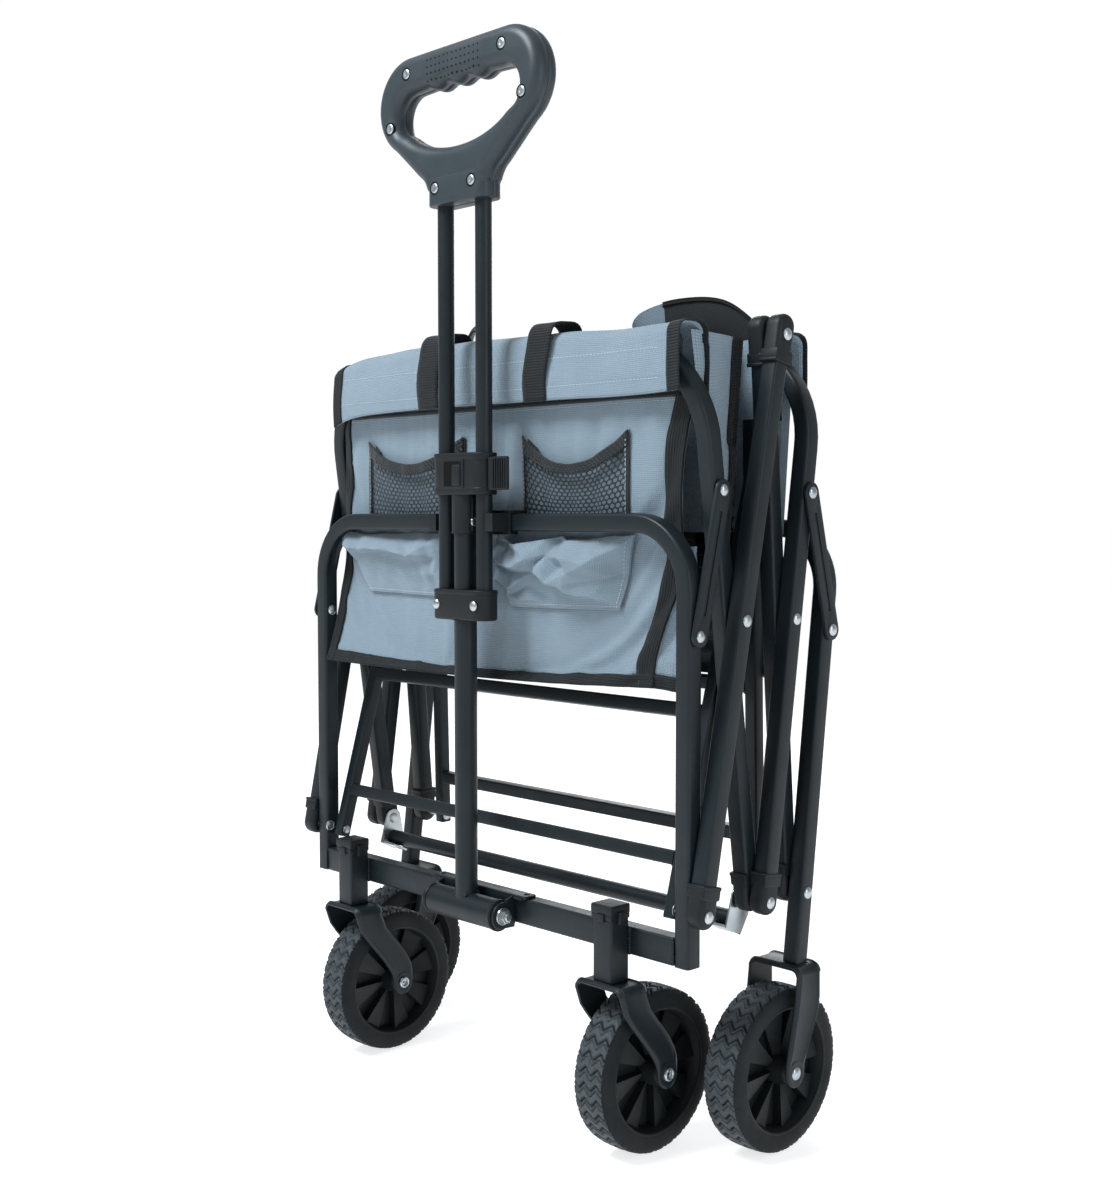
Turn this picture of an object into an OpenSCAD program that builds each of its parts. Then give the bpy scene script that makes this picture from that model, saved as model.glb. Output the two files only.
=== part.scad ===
// Folding wagon with a telescopic pull handle, folded and standing on its wheels.
// X runs across the wagon, Y from the front frame to the rear frame, Z up from the ground.

/* [Wheels] */
// Diameter of each wheel over the tread
wheel_d = 150; // [146:1:152]
// Width of each tyre
tyre_w = 38; // [34:1:40]
// Diameter where the tyre sits on the hub
rim_d = 112; // [100:1:116]
// Distance of each front wheel from the centre plane
front_wheel_x = 191; // [186:1:194]
// Distance of each rear wheel from the centre plane
rear_wheel_x = 270; // [266:1:274]

/* [Frame] */
// Width over the outside of the front frame's legs
frame_w = 543.4; // [541:0.2:545]
// Side of the square frame tube
tube = 17; // [16:0.5:17]
// Wall of the frame tube
wall = 1.4; // [1.2:0.1:2]
// Height of the top of the front frame
frame_top = 579.2; // [575:0.2:585]
// Height of the bottom end of the front legs
leg_bottom = 187.2; // [185:0.2:189]
// Height of the bar across the bottom of the front frame
bar_h = 25; // [22:1:26]
// Bend radius of the end frames' corners, on the centreline
frame_bend = 60; // [50:1:65]
// Bend radius of the two hoops' corners, on the centreline
hoop_bend = 92; // [88:1:100]

/* [Linkage] */
// Length of each front lifting bar between its two pivots
lift_len = 510; // [508:1:512]
// Length of each rear lifting bar between its two pivots
rear_lift_len = 504; // [502:1:506]
// Distance on the front hoop from its bottom pivot to the crossing rivet
hoop_half = 255; // [254:1:256]
// Distance on each hoop from the crossing rivet to the top bar
hoop_upper = 247; // [244:1:249]
// Lean of the folded front lifting bars from upright
lift_lean = 11.5; // [11:0.1:12]
// Lean of the folded front hoop from upright
hoop_lean = 7.9; // [7.5:0.1:8.2]
// Lean of the folded rear lifting bars from upright
rear_lift_lean = 4.4; // [4:0.1:4.8]
// Lean of the folded rear frame from upright
rear_frame_lean = 6.8; // [6.4:0.1:7.2]

/* [Floor] */
// Length of the front half of the floor frame
floor_front_len = 449; // [440:1:452]
// Lean of the folded front floor half from upright
floor_front_lean = 15.6; // [15:0.1:16]
// Side of the square floor tube
floor_tube = 13; // [12:0.5:13]

/* [Handle] */
// Height of the handle's pivot
pivot_z = 196.4; // [194:0.2:198]
// Diameter of the lower handle tube
lower_tube_d = 22; // [20:0.5:23]
// Diameter of the two sliding handle tubes
rod_d = 16; // [15:0.5:17]
// Distance of each sliding tube from the centre plane
rod_x = 27.5; // [26:0.5:29]
// Height of the clamp that guides the sliding tubes
clamp_z = 597; // [592:1:600]
// Height of the bottom of the grip's neck
grip_z = 874; // [865:1:880]

/* [Hidden] */
$fn = 48;
front_y = -67.1;          // centre plane of the front legs
gap = 1;                  // between the two layers of side bars
fit = 0.05;               // radial clearance of a pin in its hole
inner_x = (frame_w - tube) / 2;      // centre of the inner layer of bars
outer_x = inner_x + tube + gap;      // centre of the outer layer of bars
inner_face = inner_x - tube / 2;     // inside face of the inner layer
outer_face = outer_x + tube / 2;     // outside face of the outer layer
pin_r = 3;
floor_pin_r = 2.5;
head_r = 5.6;
head_h = 2.6;
wheel_r = wheel_d / 2;

// Unit step up a bar that leans rearward by a degrees, as [y, z]
function up(a) = [sin(a), cos(a)];

// Pivots of the folded linkage, each as [y, z]
front_pivot = [front_y - 4.4, 236.2];
top_pivot = front_pivot + lift_len * up(lift_lean);
front_cross = front_pivot + lift_len / 2 * up(lift_lean);
centre_pivot = front_cross - hoop_half * up(-hoop_lean);
rear_pivot = top_pivot - rear_lift_len * up(-rear_lift_lean);
rear_cross = top_pivot - rear_lift_len / 2 * up(-rear_lift_lean);
rear_hoop_half = norm(rear_cross - centre_pivot);
rear_hoop_lean = atan2(rear_cross[0] - centre_pivot[0], rear_cross[1] - centre_pivot[1]);
front_hoop_top = front_cross + hoop_upper * up(-hoop_lean);
rear_hoop_top = rear_cross + hoop_upper * up(rear_hoop_lean);

// Pivots of the short side links
front_link_low = [front_y + 1, 474.1];
link_reach = 114;         // above the crossing rivets, along each hoop
front_link_high = front_cross + link_reach * up(-hoop_lean);
rear_link_low = rear_pivot + 241 * up(rear_frame_lean);
rear_link_high = rear_cross + link_reach * up(rear_hoop_lean);

// Floor
floor_pivot = [front_y + 4.8, 233];
floor_tip = floor_pivot + floor_front_len * up(floor_front_lean);
floor_rear_len = norm(floor_tip - rear_pivot);
floor_rear_lean = atan2(floor_tip[0] - rear_pivot[0], floor_tip[1] - rear_pivot[1]);
floor_front_x = 243.3;    // side tubes of the front floor half
floor_rear_x = 229;       // side tubes of the rear floor half

// Wheels and forks
front_axle = [front_y + 24.2, wheel_r];
rear_axle = [front_y + 108.3, wheel_r];
post_y = front_y - 20.4;
post_side = 23;
fork_half = 29;
fork_plate = 3;
crown_z = 158;            // underside of the front forks' crown
crown_h = 4;
rear_crown_z = 164;       // underside of the rear forks' crown
axle_r = 4;
stem_r = 6;

// Handle
handle_y = front_y - 25.2;
barrel_r = 14.6;
barrel_half = 46;
pull_bolt_r = 4;
bracket_x = 50;
bracket_t = 3;
bracket_top = leg_bottom + bar_h;
clamp_h = 40;
collar_h = 37;
collar_r = 13;
carrier_z = 477;          // underside of the lower bracket on the sliding tubes
carrier_h = 29;
guide_w = 78;             // width of the clamp and of the lower bracket
guide_d = 28;
rod_bottom = carrier_z + 6;
grip_half = 15;           // half the grip's thickness
grip_screws = [[69, 132], [95.5, 84], [26.5, 16]];

// Cloth
cloth_t = 3;
panel_half = 243;
panel_bottom = 426;

black = [0.16, 0.18, 0.19];
plastic = [0.1, 0.11, 0.12];
zinc = [0.75, 0.78, 0.8];
cloth = [0.55, 0.63, 0.7];
cloth_dark = [0.2, 0.22, 0.24];
rubber = [0.22, 0.24, 0.25];

// ---- shared shapes ----

module both_sides() {
  children();
  mirror([1, 0, 0]) children();
}

// Stand children on a [y, z] point, leaning rearward by lean degrees
module stand(p, lean = 0) {
  translate([0, p[0], p[1]]) rotate([-lean, 0, 0]) children();
}

module x_rod(r, x0, x1) {
  translate([x0, 0, 0]) rotate([0, 90, 0]) cylinder(r = r, h = x1 - x0);
}

// Domed rivet head whose flat side is at x0, pointing out along X
module x_head(x0, r = head_r, h = head_h) {
  ball = (r * r + h * h) / (2 * h);
  translate([x0, 0, 0]) rotate([0, 90, 0]) rotate_extrude() intersection() {
    translate([0, h - ball]) circle(r = ball);
    square([r, h]);
  }
}

// Box that spans x0..x1, y0..y1 and z0..z1
module span(x0, x1, y0, y1, z0, z1) {
  translate([x0, y0, z0]) cube([x1 - x0, y1 - y0, z1 - z0]);
}

// Straight hollow square tube standing along Z between z0 and z1
module square_tube(x, z0, z1, side = tube, t = wall) {
  difference() {
    span(x - side / 2, x + side / 2, -side / 2, side / 2, z0, z1);
    span(x - side / 2 + t, x + side / 2 - t, -side / 2 + t, side / 2 - t, z0 - 1, z1 + 1);
  }
}

// Solid inverted U in the XZ plane: legs at +-half, top centreline at top
module u_solid(half, bottom, top, bend, side) {
  both_sides() {
    span(half - side / 2, half + side / 2, -side / 2, side / 2, bottom, top - bend);
    translate([half - bend, 0, top - bend]) rotate([90, 0, 0])
      rotate_extrude(angle = 90) translate([bend, 0]) square(side, center = true);
    span(0, half - bend, -side / 2, side / 2, top - side / 2, top + side / 2);
  }
}

// Hollow inverted U of square tube, open at its two bottom ends
module u_tube(half, bottom, top, bend) {
  difference() {
    u_solid(half, bottom, top, bend, tube);
    u_solid(half, bottom - 1, top, bend, tube - 2 * wall);
  }
}

// Round-ended plastic cap over the end of a side bar, its pivot at the origin, open side along +Z.
// x0 and x1 are its flat sides, and the bar inside spans bar_x.
module end_cap(x0, x1, bar_x) {
  cap_r = 11.5;
  skirt = 26;
  bar_0 = bar_x - tube / 2;
  bar_1 = bar_x + tube / 2;
  cut_0 = x0 < bar_0 ? bar_0 - 0.02 : x0 - 1;
  cut_1 = x1 > bar_1 ? bar_1 + 0.02 : x1 + 1;
  difference() {
    union() {
      x_rod(cap_r, x0, x1);
      span(x0, x1, -cap_r, cap_r, 0, skirt);
    }
    span(cut_0, cut_1, -tube / 2 - 0.02, tube / 2 + 0.02, -6.02, skirt + 1);
    x_rod(pin_r + fit, x0 - 1, x1 + 1);
  }
}

// Side bar between two capped pivots a length apart, with holes at both pivots and the crossing
module side_bar(x, len) {
  difference() {
    square_tube(x, -6, len + 6);
    for (z = [0, len / 2, len])
      translate([0, 0, z]) x_rod(pin_r + fit, x - tube, x + tube);
  }
}

// ---- front frame ----

module front_frame() color(black) difference() {
  union() {
    translate([0, front_y, 0]) u_tube(inner_x, leg_bottom, frame_top - tube / 2, frame_bend);
    difference() {
      span(-inner_face, inner_face, front_y - tube / 2, front_y + tube / 2,
        leg_bottom, leg_bottom + bar_h);
      span(-inner_face - 1, inner_face + 1, front_y - tube / 2 + wall, front_y + tube / 2 - wall,
        leg_bottom + wall, leg_bottom + bar_h - wall);
    }
  }
  both_sides() {
    stand(front_pivot) x_rod(pin_r + fit, inner_x - tube, inner_x + tube);
    stand(front_link_low) x_rod(pin_r + fit, inner_x - tube, inner_x + tube);
    stand(floor_pivot) x_rod(floor_pin_r + fit, inner_x - tube, inner_x + tube);
  }
}

// Square posts that carry the casters, in front of the bottom bar
module caster_posts() color(black) both_sides() difference() {
  translate([front_wheel_x, post_y - 0.1, 0])
    span(-post_side / 2, post_side / 2, -post_side / 2, front_y - tube / 2 - post_y + 0.1,
      crown_z + crown_h + 1, leg_bottom + bar_h + 13);
  translate([front_wheel_x, post_y, 0]) cylinder(r = stem_r + fit, h = 220);
}

module post_caps() color(plastic) both_sides()
  translate([front_wheel_x, post_y, leg_bottom + bar_h + 13]) {
    span(-13, 13, -13, 11.5, 0.05, 9);
    for (s = [-1, 1]) scale([s, 1, 1]) span(post_side / 2 + 0.1, 16.5, -5, 5, -8, 3);
  }

// Folded plate that carries the handle's pivot on the bottom bar
module pull_bracket() color(black) difference() {
  back_y = front_y - tube / 2;
  union() {
    span(-bracket_x - bracket_t, bracket_x + bracket_t, back_y - bracket_t, back_y,
      leg_bottom - 2, bracket_top + bracket_t);
    span(-bracket_x - bracket_t - 16, bracket_x + bracket_t + 16, back_y - bracket_t,
      back_y + 13, bracket_top, bracket_top + bracket_t);
    both_sides() {
      span(bracket_x, bracket_x + bracket_t, handle_y, back_y - bracket_t, pivot_z - 13,
        bracket_top + bracket_t);
      translate([0, handle_y, pivot_z]) x_rod(13, bracket_x, bracket_x + bracket_t);
    }
  }
  translate([0, handle_y, pivot_z]) {
    x_rod(pull_bolt_r + fit, -bracket_x - 10, bracket_x + 10);
    x_rod(barrel_r + 1.2, -bracket_x, bracket_x);
  }
  for (s = [-1, 1]) translate([s * (bracket_x + 12), back_y + 6, bracket_top - 1])
    cylinder(r = 2.5, h = 10);
}

module pull_bolt() color(zinc) translate([0, handle_y, pivot_z]) {
  out = bracket_x + bracket_t;
  x_rod(pull_bolt_r, -out - 2, out + 8);
  x_rod(6.5, -out - 5, -out - 0.1);
  rotate([0, 90, 0]) translate([0, 0, out + 0.1]) {
    cylinder(r = 8, h = 1.5);
    cylinder(r = 6.6, h = 6.5, $fn = 6);
  }
}

// Plastic saddle on the frame's top bar with two jaws for the sliding tubes
module handle_clip() color(plastic) {
  z0 = frame_top - tube;
  jaw_in = rod_x + rod_d / 2 + 0.6;
  translate([0, front_y, 0]) {
    difference() {
      span(-48, 48, -tube / 2 - 3, tube / 2 + 3, z0 - 3, frame_top + 3);
      span(-49, 49, -tube / 2 - 0.02, tube / 2 + 0.02, z0 - 0.02, frame_top + 0.02);
      span(-49, 49, 0, 30, z0 - 4, z0 + 8);
    }
    both_sides() {
      span(jaw_in, jaw_in + 11, handle_y - front_y - 7, -tube / 2 - 3, z0, frame_top);
    }
  }
}

module front_leg_pins() color(zinc) both_sides() {
  stand(front_pivot) {
    x_rod(pin_r, inner_face, outer_face + 1.6);
    x_head(outer_face + 1.6);
    mirror([1, 0, 0]) x_head(-inner_face, h = 2);
  }
  stand(front_link_low) {
    x_rod(pin_r, inner_face, frame_w / 2 + 4.6);
    x_head(frame_w / 2 + 4.6);
    mirror([1, 0, 0]) x_head(-inner_face, h = 2);
  }
  stand(floor_pivot) {
    x_rod(floor_pin_r, floor_front_x - floor_tube / 2, frame_w / 2);
    mirror([1, 0, 0]) x_head(-floor_front_x + floor_tube / 2, r = 4.5, h = 1.2);
  }
}

// ---- casters and wheels ----

// One fork arm in the YZ plane, from the crown to the axle, spanning x0..x1.
// top_y is the crown's middle, seen from the axle.
module fork_arm(x0, x1, top_y, top_z) {
  eye_r = 13;
  wide = 17;
  lift = top_z - wheel_r;
  translate([x0, 0, 0]) rotate([90, 0, 90]) linear_extrude(x1 - x0) union() {
    circle(r = eye_r);
    polygon([[-eye_r, 0], [top_y - wide, lift - 26], [top_y - wide, lift],
      [top_y + wide, lift], [top_y + wide - 1, lift - 20], [eye_r, 0]]);
  }
}

// Fork astride a wheel; axle is [y, z] and top_y the Y of the crown's middle
module fork(x, axle, top_y, top_z) {
  translate([x, axle[0], axle[1]]) difference() {
    union() {
      for (s = [-1, 1])
        fork_arm(s * (fork_half - fork_plate / 2) - fork_plate / 2,
          s * (fork_half - fork_plate / 2) + fork_plate / 2, top_y - axle[0], top_z);
      span(-fork_half, fork_half, top_y - axle[0] - 18, top_y - axle[0] + 18,
        top_z - wheel_r, top_z - wheel_r + crown_h);
    }
    x_rod(axle_r + fit, -fork_half - 1, fork_half + 1);
  }
}

// Front fork with the stem that turns in the post
module front_fork(side) color(black) {
  fork(side * front_wheel_x, front_axle, post_y, crown_z);
  translate([side * front_wheel_x, post_y, crown_z + crown_h]) cylinder(r = stem_r, h = 55);
}

module axle_bolt(x, axle) color(zinc) translate([x, axle[0], axle[1]]) {
  x_rod(axle_r, -fork_half, fork_half);
  x_head(fork_half, r = 6.5, h = 3);
  mirror([1, 0, 0]) x_head(fork_half, r = 6.5, h = 3);
}

module tyre(x, axle) color(rubber) translate([x, axle[0], axle[1]]) rotate([0, 90, 0])
  rotate_extrude($fn = 96) difference() {
    half = tyre_w / 2;
    union() {
      translate([rim_d / 2, -half]) square([wheel_r - rim_d / 2 - 4, tyre_w]);
      translate([rim_d / 2, 4 - half]) square([wheel_r - rim_d / 2, tyre_w - 8]);
      for (s = [-1, 1]) translate([wheel_r - 4, s * (half - 4)]) circle(r = 4);
    }
  }

module hub(x, axle) color(plastic) translate([x, axle[0], axle[1]]) rotate([0, 90, 0])
  difference() {
    rim_in = rim_d / 2 - 4;
    union() {
      difference() {
        cylinder(r = rim_d / 2 - 0.02, h = tyre_w - 5, center = true, $fn = 96);
        cylinder(r = rim_in, h = tyre_w, center = true, $fn = 96);
      }
      cylinder(r = rim_in + 0.5, h = 5, center = true, $fn = 96);
      cylinder(r = 13, h = 2 * (fork_half - fork_plate) - 1, center = true);
      for (a = [0:45:315]) rotate([0, 0, a]) translate([10, -1.25, -12])
        cube([rim_in - 9, 2.5, 24]);
    }
    cylinder(r = axle_r + fit, h = 100, center = true);
  }

// ---- side linkage ----

module lift_bars() color(black) both_sides()
  stand(front_pivot, lift_lean) side_bar(outer_x, lift_len);

module lift_bar_caps() color(plastic) both_sides() {
  x0 = outer_face - tube;
  stand(front_pivot, lift_lean) end_cap(x0, outer_face + 1.5, outer_x);
  stand(top_pivot, lift_lean) mirror([0, 0, 1]) end_cap(x0, outer_face + 1.5, outer_x);
}

// Rivets through the tops of the lifting bars, and in the front crossing
module top_rivets() color(zinc) both_sides() {
  stand(top_pivot) {
    x_rod(pin_r, inner_face - 1.6, outer_face + 1.6);
    x_head(outer_face + 1.6);
    mirror([1, 0, 0]) x_head(-inner_face + 1.6, h = 2);
  }
  stand(front_cross) {
    x_rod(pin_r, outer_face - tube, outer_face);
    x_head(outer_face);
  }
}

// Hoop of bent square tube whose bottom pivots are at p, with holes for its rivets
module hoop(p, lean, x, lower, bore_x) difference() {
  stand(p, lean) u_tube(x, -6, lower + hoop_upper, hoop_bend);
  both_sides() stand(p, lean) for (z = [0, lower, lower + link_reach])
    translate([0, 0, z]) x_rod(pin_r + fit, bore_x - tube, bore_x + tube);
}

module hoop_ends(p, lean, x) color(plastic) both_sides()
  stand(p, lean) end_cap(x - tube / 2, x + tube / 2, x);

module front_hoop() color(black) hoop(centre_pivot, -hoop_lean, inner_x, hoop_half, inner_x);
module front_hoop_ends() hoop_ends(centre_pivot, -hoop_lean, inner_x);

// Inner heads at the front crossing, and the pins of the centre brackets
module front_hoop_rivets() color(zinc) both_sides() {
  stand(centre_pivot) {
    x_rod(pin_r, inner_face - 3.2, inner_face + tube);
    mirror([1, 0, 0]) x_head(-inner_face + 3.2, h = 1.4);
  }
  stand(front_cross) mirror([1, 0, 0]) {
    x_rod(pin_r, -inner_face - tube, -inner_face);
    x_head(-inner_face, h = 2);
  }
}

module rear_hoop() color(black)
  hoop(centre_pivot, rear_hoop_lean, outer_x, rear_hoop_half, outer_x);
module rear_hoop_ends() hoop_ends(centre_pivot, rear_hoop_lean, outer_x);

module rear_hoop_rivets() color(zinc) both_sides()
  for (p = [centre_pivot, rear_cross, rear_link_high]) stand(p) {
    top = p == rear_link_high ? outer_face + 4.2 : outer_face;
    x_rod(pin_r, outer_face - tube, top);
    x_head(top);
  }

module rear_lift_bars() color(black) both_sides()
  stand(rear_pivot, -rear_lift_lean) side_bar(inner_x, rear_lift_len);

// Inner heads of the rivets at the rear crossing
module rear_bar_rivets() color(zinc) both_sides() stand(rear_cross) {
  x_rod(pin_r, inner_face, inner_face + tube);
  mirror([1, 0, 0]) x_head(-inner_face, h = 2);
}

module rear_lift_caps() color(plastic) both_sides() {
  stand(rear_pivot, -rear_lift_lean) end_cap(inner_face - 1, inner_face + tube, inner_x);
  stand(top_pivot, -rear_lift_lean) mirror([0, 0, 1])
    end_cap(inner_face - 1.4, inner_face + tube, inner_x);
}

// Flat link between two points, spanning x0..x1, with a stamped groove and an eye at each end
module link(p, q, x0, x1) {
  step = q - p;
  len = norm(step);
  eye_r = 9.5;
  stand(p, atan2(step[0], step[1])) difference() {
    union() {
      for (z = [0, len]) translate([0, 0, z]) x_rod(eye_r, x0, x1);
      span(x0, x1, -eye_r, eye_r, 0, len);
    }
    span(x1 - 0.8, x1 + 1, -2, 2, 18, len - 18);
    for (z = [0, len]) translate([0, 0, z]) x_rod(pin_r + fit, x0 - 1, x1 + 1);
  }
}

front_link_x = frame_w / 2 + 1.5;
module front_links() color(black) both_sides()
  link(front_link_low, front_link_high, front_link_x, front_link_x + 3);

// Rivets at the tops of the front links, through the front hoop
module front_link_pins() color(zinc) both_sides() stand(front_link_high) {
  x_rod(pin_r, inner_face - 0.1, front_link_x + 3.1);
  x_head(front_link_x + 3.1);
  mirror([1, 0, 0]) x_head(-inner_face + 0.1, h = 2);
}

module rear_links() color(black) both_sides()
  link(rear_link_low, rear_link_high, outer_face + 1, outer_face + 4);

// ---- rear frame ----

module rear_frame() color(black) difference() {
  height = frame_top - front_pivot[1] - tube / 2;
  stand(rear_pivot, rear_frame_lean)
    u_tube(outer_x, rear_crown_z - rear_pivot[1], height, frame_bend);
  span(-frame_w, frame_w, 0, 120, rear_crown_z - 10, rear_crown_z + crown_h);
  both_sides() {
    stand(rear_pivot) x_rod(pin_r + fit, outer_x - tube, outer_x + tube);
    stand(rear_link_low) x_rod(pin_r + fit, outer_x - tube, outer_x + tube);
  }
}

module rear_forks() color(black) both_sides() {
  crown_y = rear_pivot[0] - (rear_pivot[1] - rear_crown_z) * tan(rear_frame_lean);
  fork(rear_wheel_x, rear_axle, crown_y, rear_crown_z);
}

module rear_axles() both_sides() axle_bolt(rear_wheel_x, rear_axle);

module rear_leg_pins() color(zinc) both_sides() {
  stand(rear_pivot) {
    x_rod(pin_r, floor_rear_x - floor_tube / 2, outer_face);
    x_head(outer_face);
    mirror([1, 0, 0]) x_head(-floor_rear_x + floor_tube / 2, h = 1.5);
  }
  stand(rear_link_low) {
    x_rod(pin_r, outer_face - tube, outer_face + 4.2);
    x_head(outer_face + 4.2);
  }
}

// ---- floor ----

// One floor half: two side tubes at +-x and its cross tubes at the given distances
module floor_half(p, lean, x, len, cross, bore_r) color(black) difference() {
  stand(p, lean) {
    both_sides() square_tube(x, -8, len, floor_tube, 1.2);
    for (z = cross) span(-x + floor_tube / 2, x - floor_tube / 2, -floor_tube / 2, floor_tube / 2,
      z - floor_tube / 2, z + floor_tube / 2);
  }
  both_sides() stand(p) x_rod(bore_r + fit, x - floor_tube, x + floor_tube);
}

module floor_frame_front() floor_half(floor_pivot, floor_front_lean, floor_front_x,
  floor_front_len, [44, 175, 300], floor_pin_r);
module floor_frame_rear() floor_half(rear_pivot, floor_rear_lean, floor_rear_x,
  floor_rear_len, [44, 185, 300], pin_r);

// Bent zinc plates that hang from the centre pivots and carry the centre tube
tube_drop = 22;
module centre_brackets() color(zinc) both_sides() stand(centre_pivot) difference() {
  x0 = inner_face - 2.8;
  union() {
    translate([x0, 0, 0]) rotate([90, 0, 90]) linear_extrude(2)
      polygon([[-9, 9], [9, 9], [14, -18], [2, -36], [-18, -26]]);
    translate([x0 - 22, 0, 0]) rotate([90, 0, 90]) linear_extrude(23)
      polygon([[1, -35], [-17, -26], [-16, -24], [2, -33]]);
  }
  x_rod(pin_r + fit, x0 - 1, x0 + 4);
  translate([0, 0, -tube_drop]) x_rod(8.02, x0 - 40, x0 + 3);
}

module centre_tube() color(black) stand(centre_pivot) translate([0, 0, -tube_drop])
  difference() {
    x_rod(8, -inner_face + 0.8, inner_face - 0.8);
    x_rod(6.8, -inner_face, inner_face);
  }

// ---- handle ----

module pull_tube() color(black) difference() {
  union() {
    translate([0, handle_y, pivot_z]) x_rod(barrel_r, -barrel_half, barrel_half);
    translate([0, handle_y, pivot_z]) cylinder(r = lower_tube_d / 2, h = clamp_z + 20 - pivot_z);
  }
  translate([0, handle_y, pivot_z]) {
    x_rod(barrel_r - 2.5, -barrel_half - 1, barrel_half + 1);
    translate([0, 0, barrel_r - 1]) cylinder(r = lower_tube_d / 2 - 1.5, h = 500);
  }
}

module barrel_bushes() color(plastic) translate([0, handle_y, pivot_z]) both_sides()
  difference() {
    union() {
      x_rod(barrel_r - 2.6, barrel_half - 16, barrel_half);
      x_rod(barrel_r + 0.8, barrel_half, barrel_half + 3.2);
    }
    x_rod(pull_bolt_r + fit, barrel_half - 20, barrel_half + 5);
  }

// Upright block with round ends, from z0 to z0 + h
module obround(w, d, z0, h) translate([0, handle_y, z0]) {
  both_sides() translate([w / 2 - d / 2, 0, 0]) cylinder(r = d / 2, h = h);
  span(-w / 2 + d / 2, w / 2 - d / 2, -d / 2, d / 2, 0, h);
}

module rod_clamp() color(plastic) difference() {
  union() {
    obround(guide_w, guide_d, clamp_z, clamp_h);
    translate([0, handle_y, clamp_z - collar_h]) cylinder(r = collar_r, h = collar_h + 1);
  }
  both_sides() translate([rod_x, handle_y, clamp_z - 1])
    cylinder(r = rod_d / 2 + 0.1, h = clamp_h + 2);
  translate([0, handle_y, clamp_z - collar_h - 1])
    cylinder(r = lower_tube_d / 2 + 0.02, h = collar_h + 21);
  span(-9, 9, handle_y - guide_d, handle_y - 8.6, clamp_z + 8, clamp_z + clamp_h - 6);
  span(guide_w / 2 - 3, guide_w, handle_y - 7, handle_y + 7, clamp_z + 3, clamp_z + 36);
  translate([0, handle_y, clamp_z - 26]) x_rod(2 + fit, 0, guide_w);
}

module clamp_screw() color(zinc) translate([0, handle_y, clamp_z - 26]) {
  x_rod(2, lower_tube_d / 2 + 0.1, collar_r + 0.1);
  x_head(collar_r + 0.1, r = 4.6, h = 2);
}

// Thumb button in the side of the clamp
module clamp_button() color(plastic) {
  span(guide_w / 2 - 0.3, guide_w / 2 + 8, handle_y - 6, handle_y + 6, clamp_z + 4, clamp_z + 35);
  span(guide_w / 2 + 7, guide_w / 2 + 21, handle_y - 6, handle_y - 2, clamp_z + 4, clamp_z + 35);
}

module slide_rods() color(black) both_sides() translate([rod_x, handle_y, rod_bottom])
  difference() {
    cylinder(r = rod_d / 2, h = grip_z + 22 - rod_bottom);
    translate([0, 0, -1]) cylinder(r = rod_d / 2 - 1.4, h = 500);
  }

module rod_carrier() color(plastic) difference() {
  obround(guide_w, guide_d, carrier_z, carrier_h);
  both_sides() translate([rod_x, handle_y, rod_bottom])
    cylinder(r = rod_d / 2 + 0.02, h = carrier_h);
  translate([0, handle_y, carrier_z - 1]) cylinder(r = lower_tube_d / 2 + 0.6, h = carrier_h + 2);
}

module carrier_rivets() color(zinc) both_sides()
  translate([rod_x, handle_y - guide_d / 2 - 0.05, carrier_z + carrier_h / 2])
    rotate([0, 0, -90]) x_head(0, r = 5, h = 2.4);

// Points of an arc about c
function arc(c, r, a0, a1, n) =
  [for (i = [0:n]) c + r * [cos(a0 + (a1 - a0) * i / n), sin(a0 + (a1 - a0) * i / n)]];

// Right half of the grip's outline from the neck up, then of its opening, as [x, z] over grip_z
grip_outer = concat([[0, 0], [41, 0], [43, 10.5]], arc([66, 10], 23, 176, 118, 5),
  arc([70, 103], 47, -62, 90, 14), [[0, 150]]);
grip_inner = concat([[0, 54]], arc([12, 96], 41, -68, -62, 2), arc([67, 93], 21, -42, 90, 9),
  [for (x = [45:-3:0]) [x, 113 - 2 * cos(12 * x)]]);

// Closed outline made of a right half and its mirror image
function both_halves(half) =
  concat(half, [for (i = [len(half) - 2:-1:1]) [-half[i][0], half[i][1]]]);

module grip_profile() difference() {
  polygon(both_halves(grip_outer));
  polygon(both_halves(grip_inner));
}

// One half shell of the grip; side is -1 for the front half
module grip_half(side) color(plastic) difference() {
  translate([0, handle_y + (side > 0 ? grip_half : 0), grip_z]) rotate([90, 0, 0])
    linear_extrude(grip_half) grip_profile();
  both_sides() translate([rod_x, handle_y, grip_z - 1])
    cylinder(r = rod_d / 2 + 0.02, h = 23);
  if (side < 0) for (p = grip_screws, s = [-1, 1])
    translate([s * p[0], handle_y - grip_half - 1, grip_z + p[1]])
      rotate([-90, 0, 0]) cylinder(r = 5.2, h = 4);
}

module grip_screws() color(zinc) for (p = grip_screws, s = [-1, 1])
  translate([s * p[0], handle_y - grip_half + 3, grip_z + p[1]]) rotate([0, 0, -90])
    x_head(0, r = 4.6, h = 2);

// ---- cloth ----

// Front end cloth: a sleeve around the hoop's top bar and the panel below it
module front_panel() color(cloth) {
  y = front_hoop_top[0];
  top = front_hoop_top[1];
  sleeve_half = 178;
  difference() {
    span(-sleeve_half, sleeve_half, y - 13, y + 13, top - 34, top + 13);
    stand(front_hoop_top, -hoop_lean)
      span(-200, 200, -tube / 2 - 0.4, tube / 2 + 0.4, -tube / 2 - 0.4, tube / 2 + 0.4);
  }
  span(-panel_half, panel_half, y + 6, y + 6 + cloth_t, panel_bottom, top - 62);
  span(-229, 229, y + 6, y + 6 + cloth_t, top - 63, top - 34);
}

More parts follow.
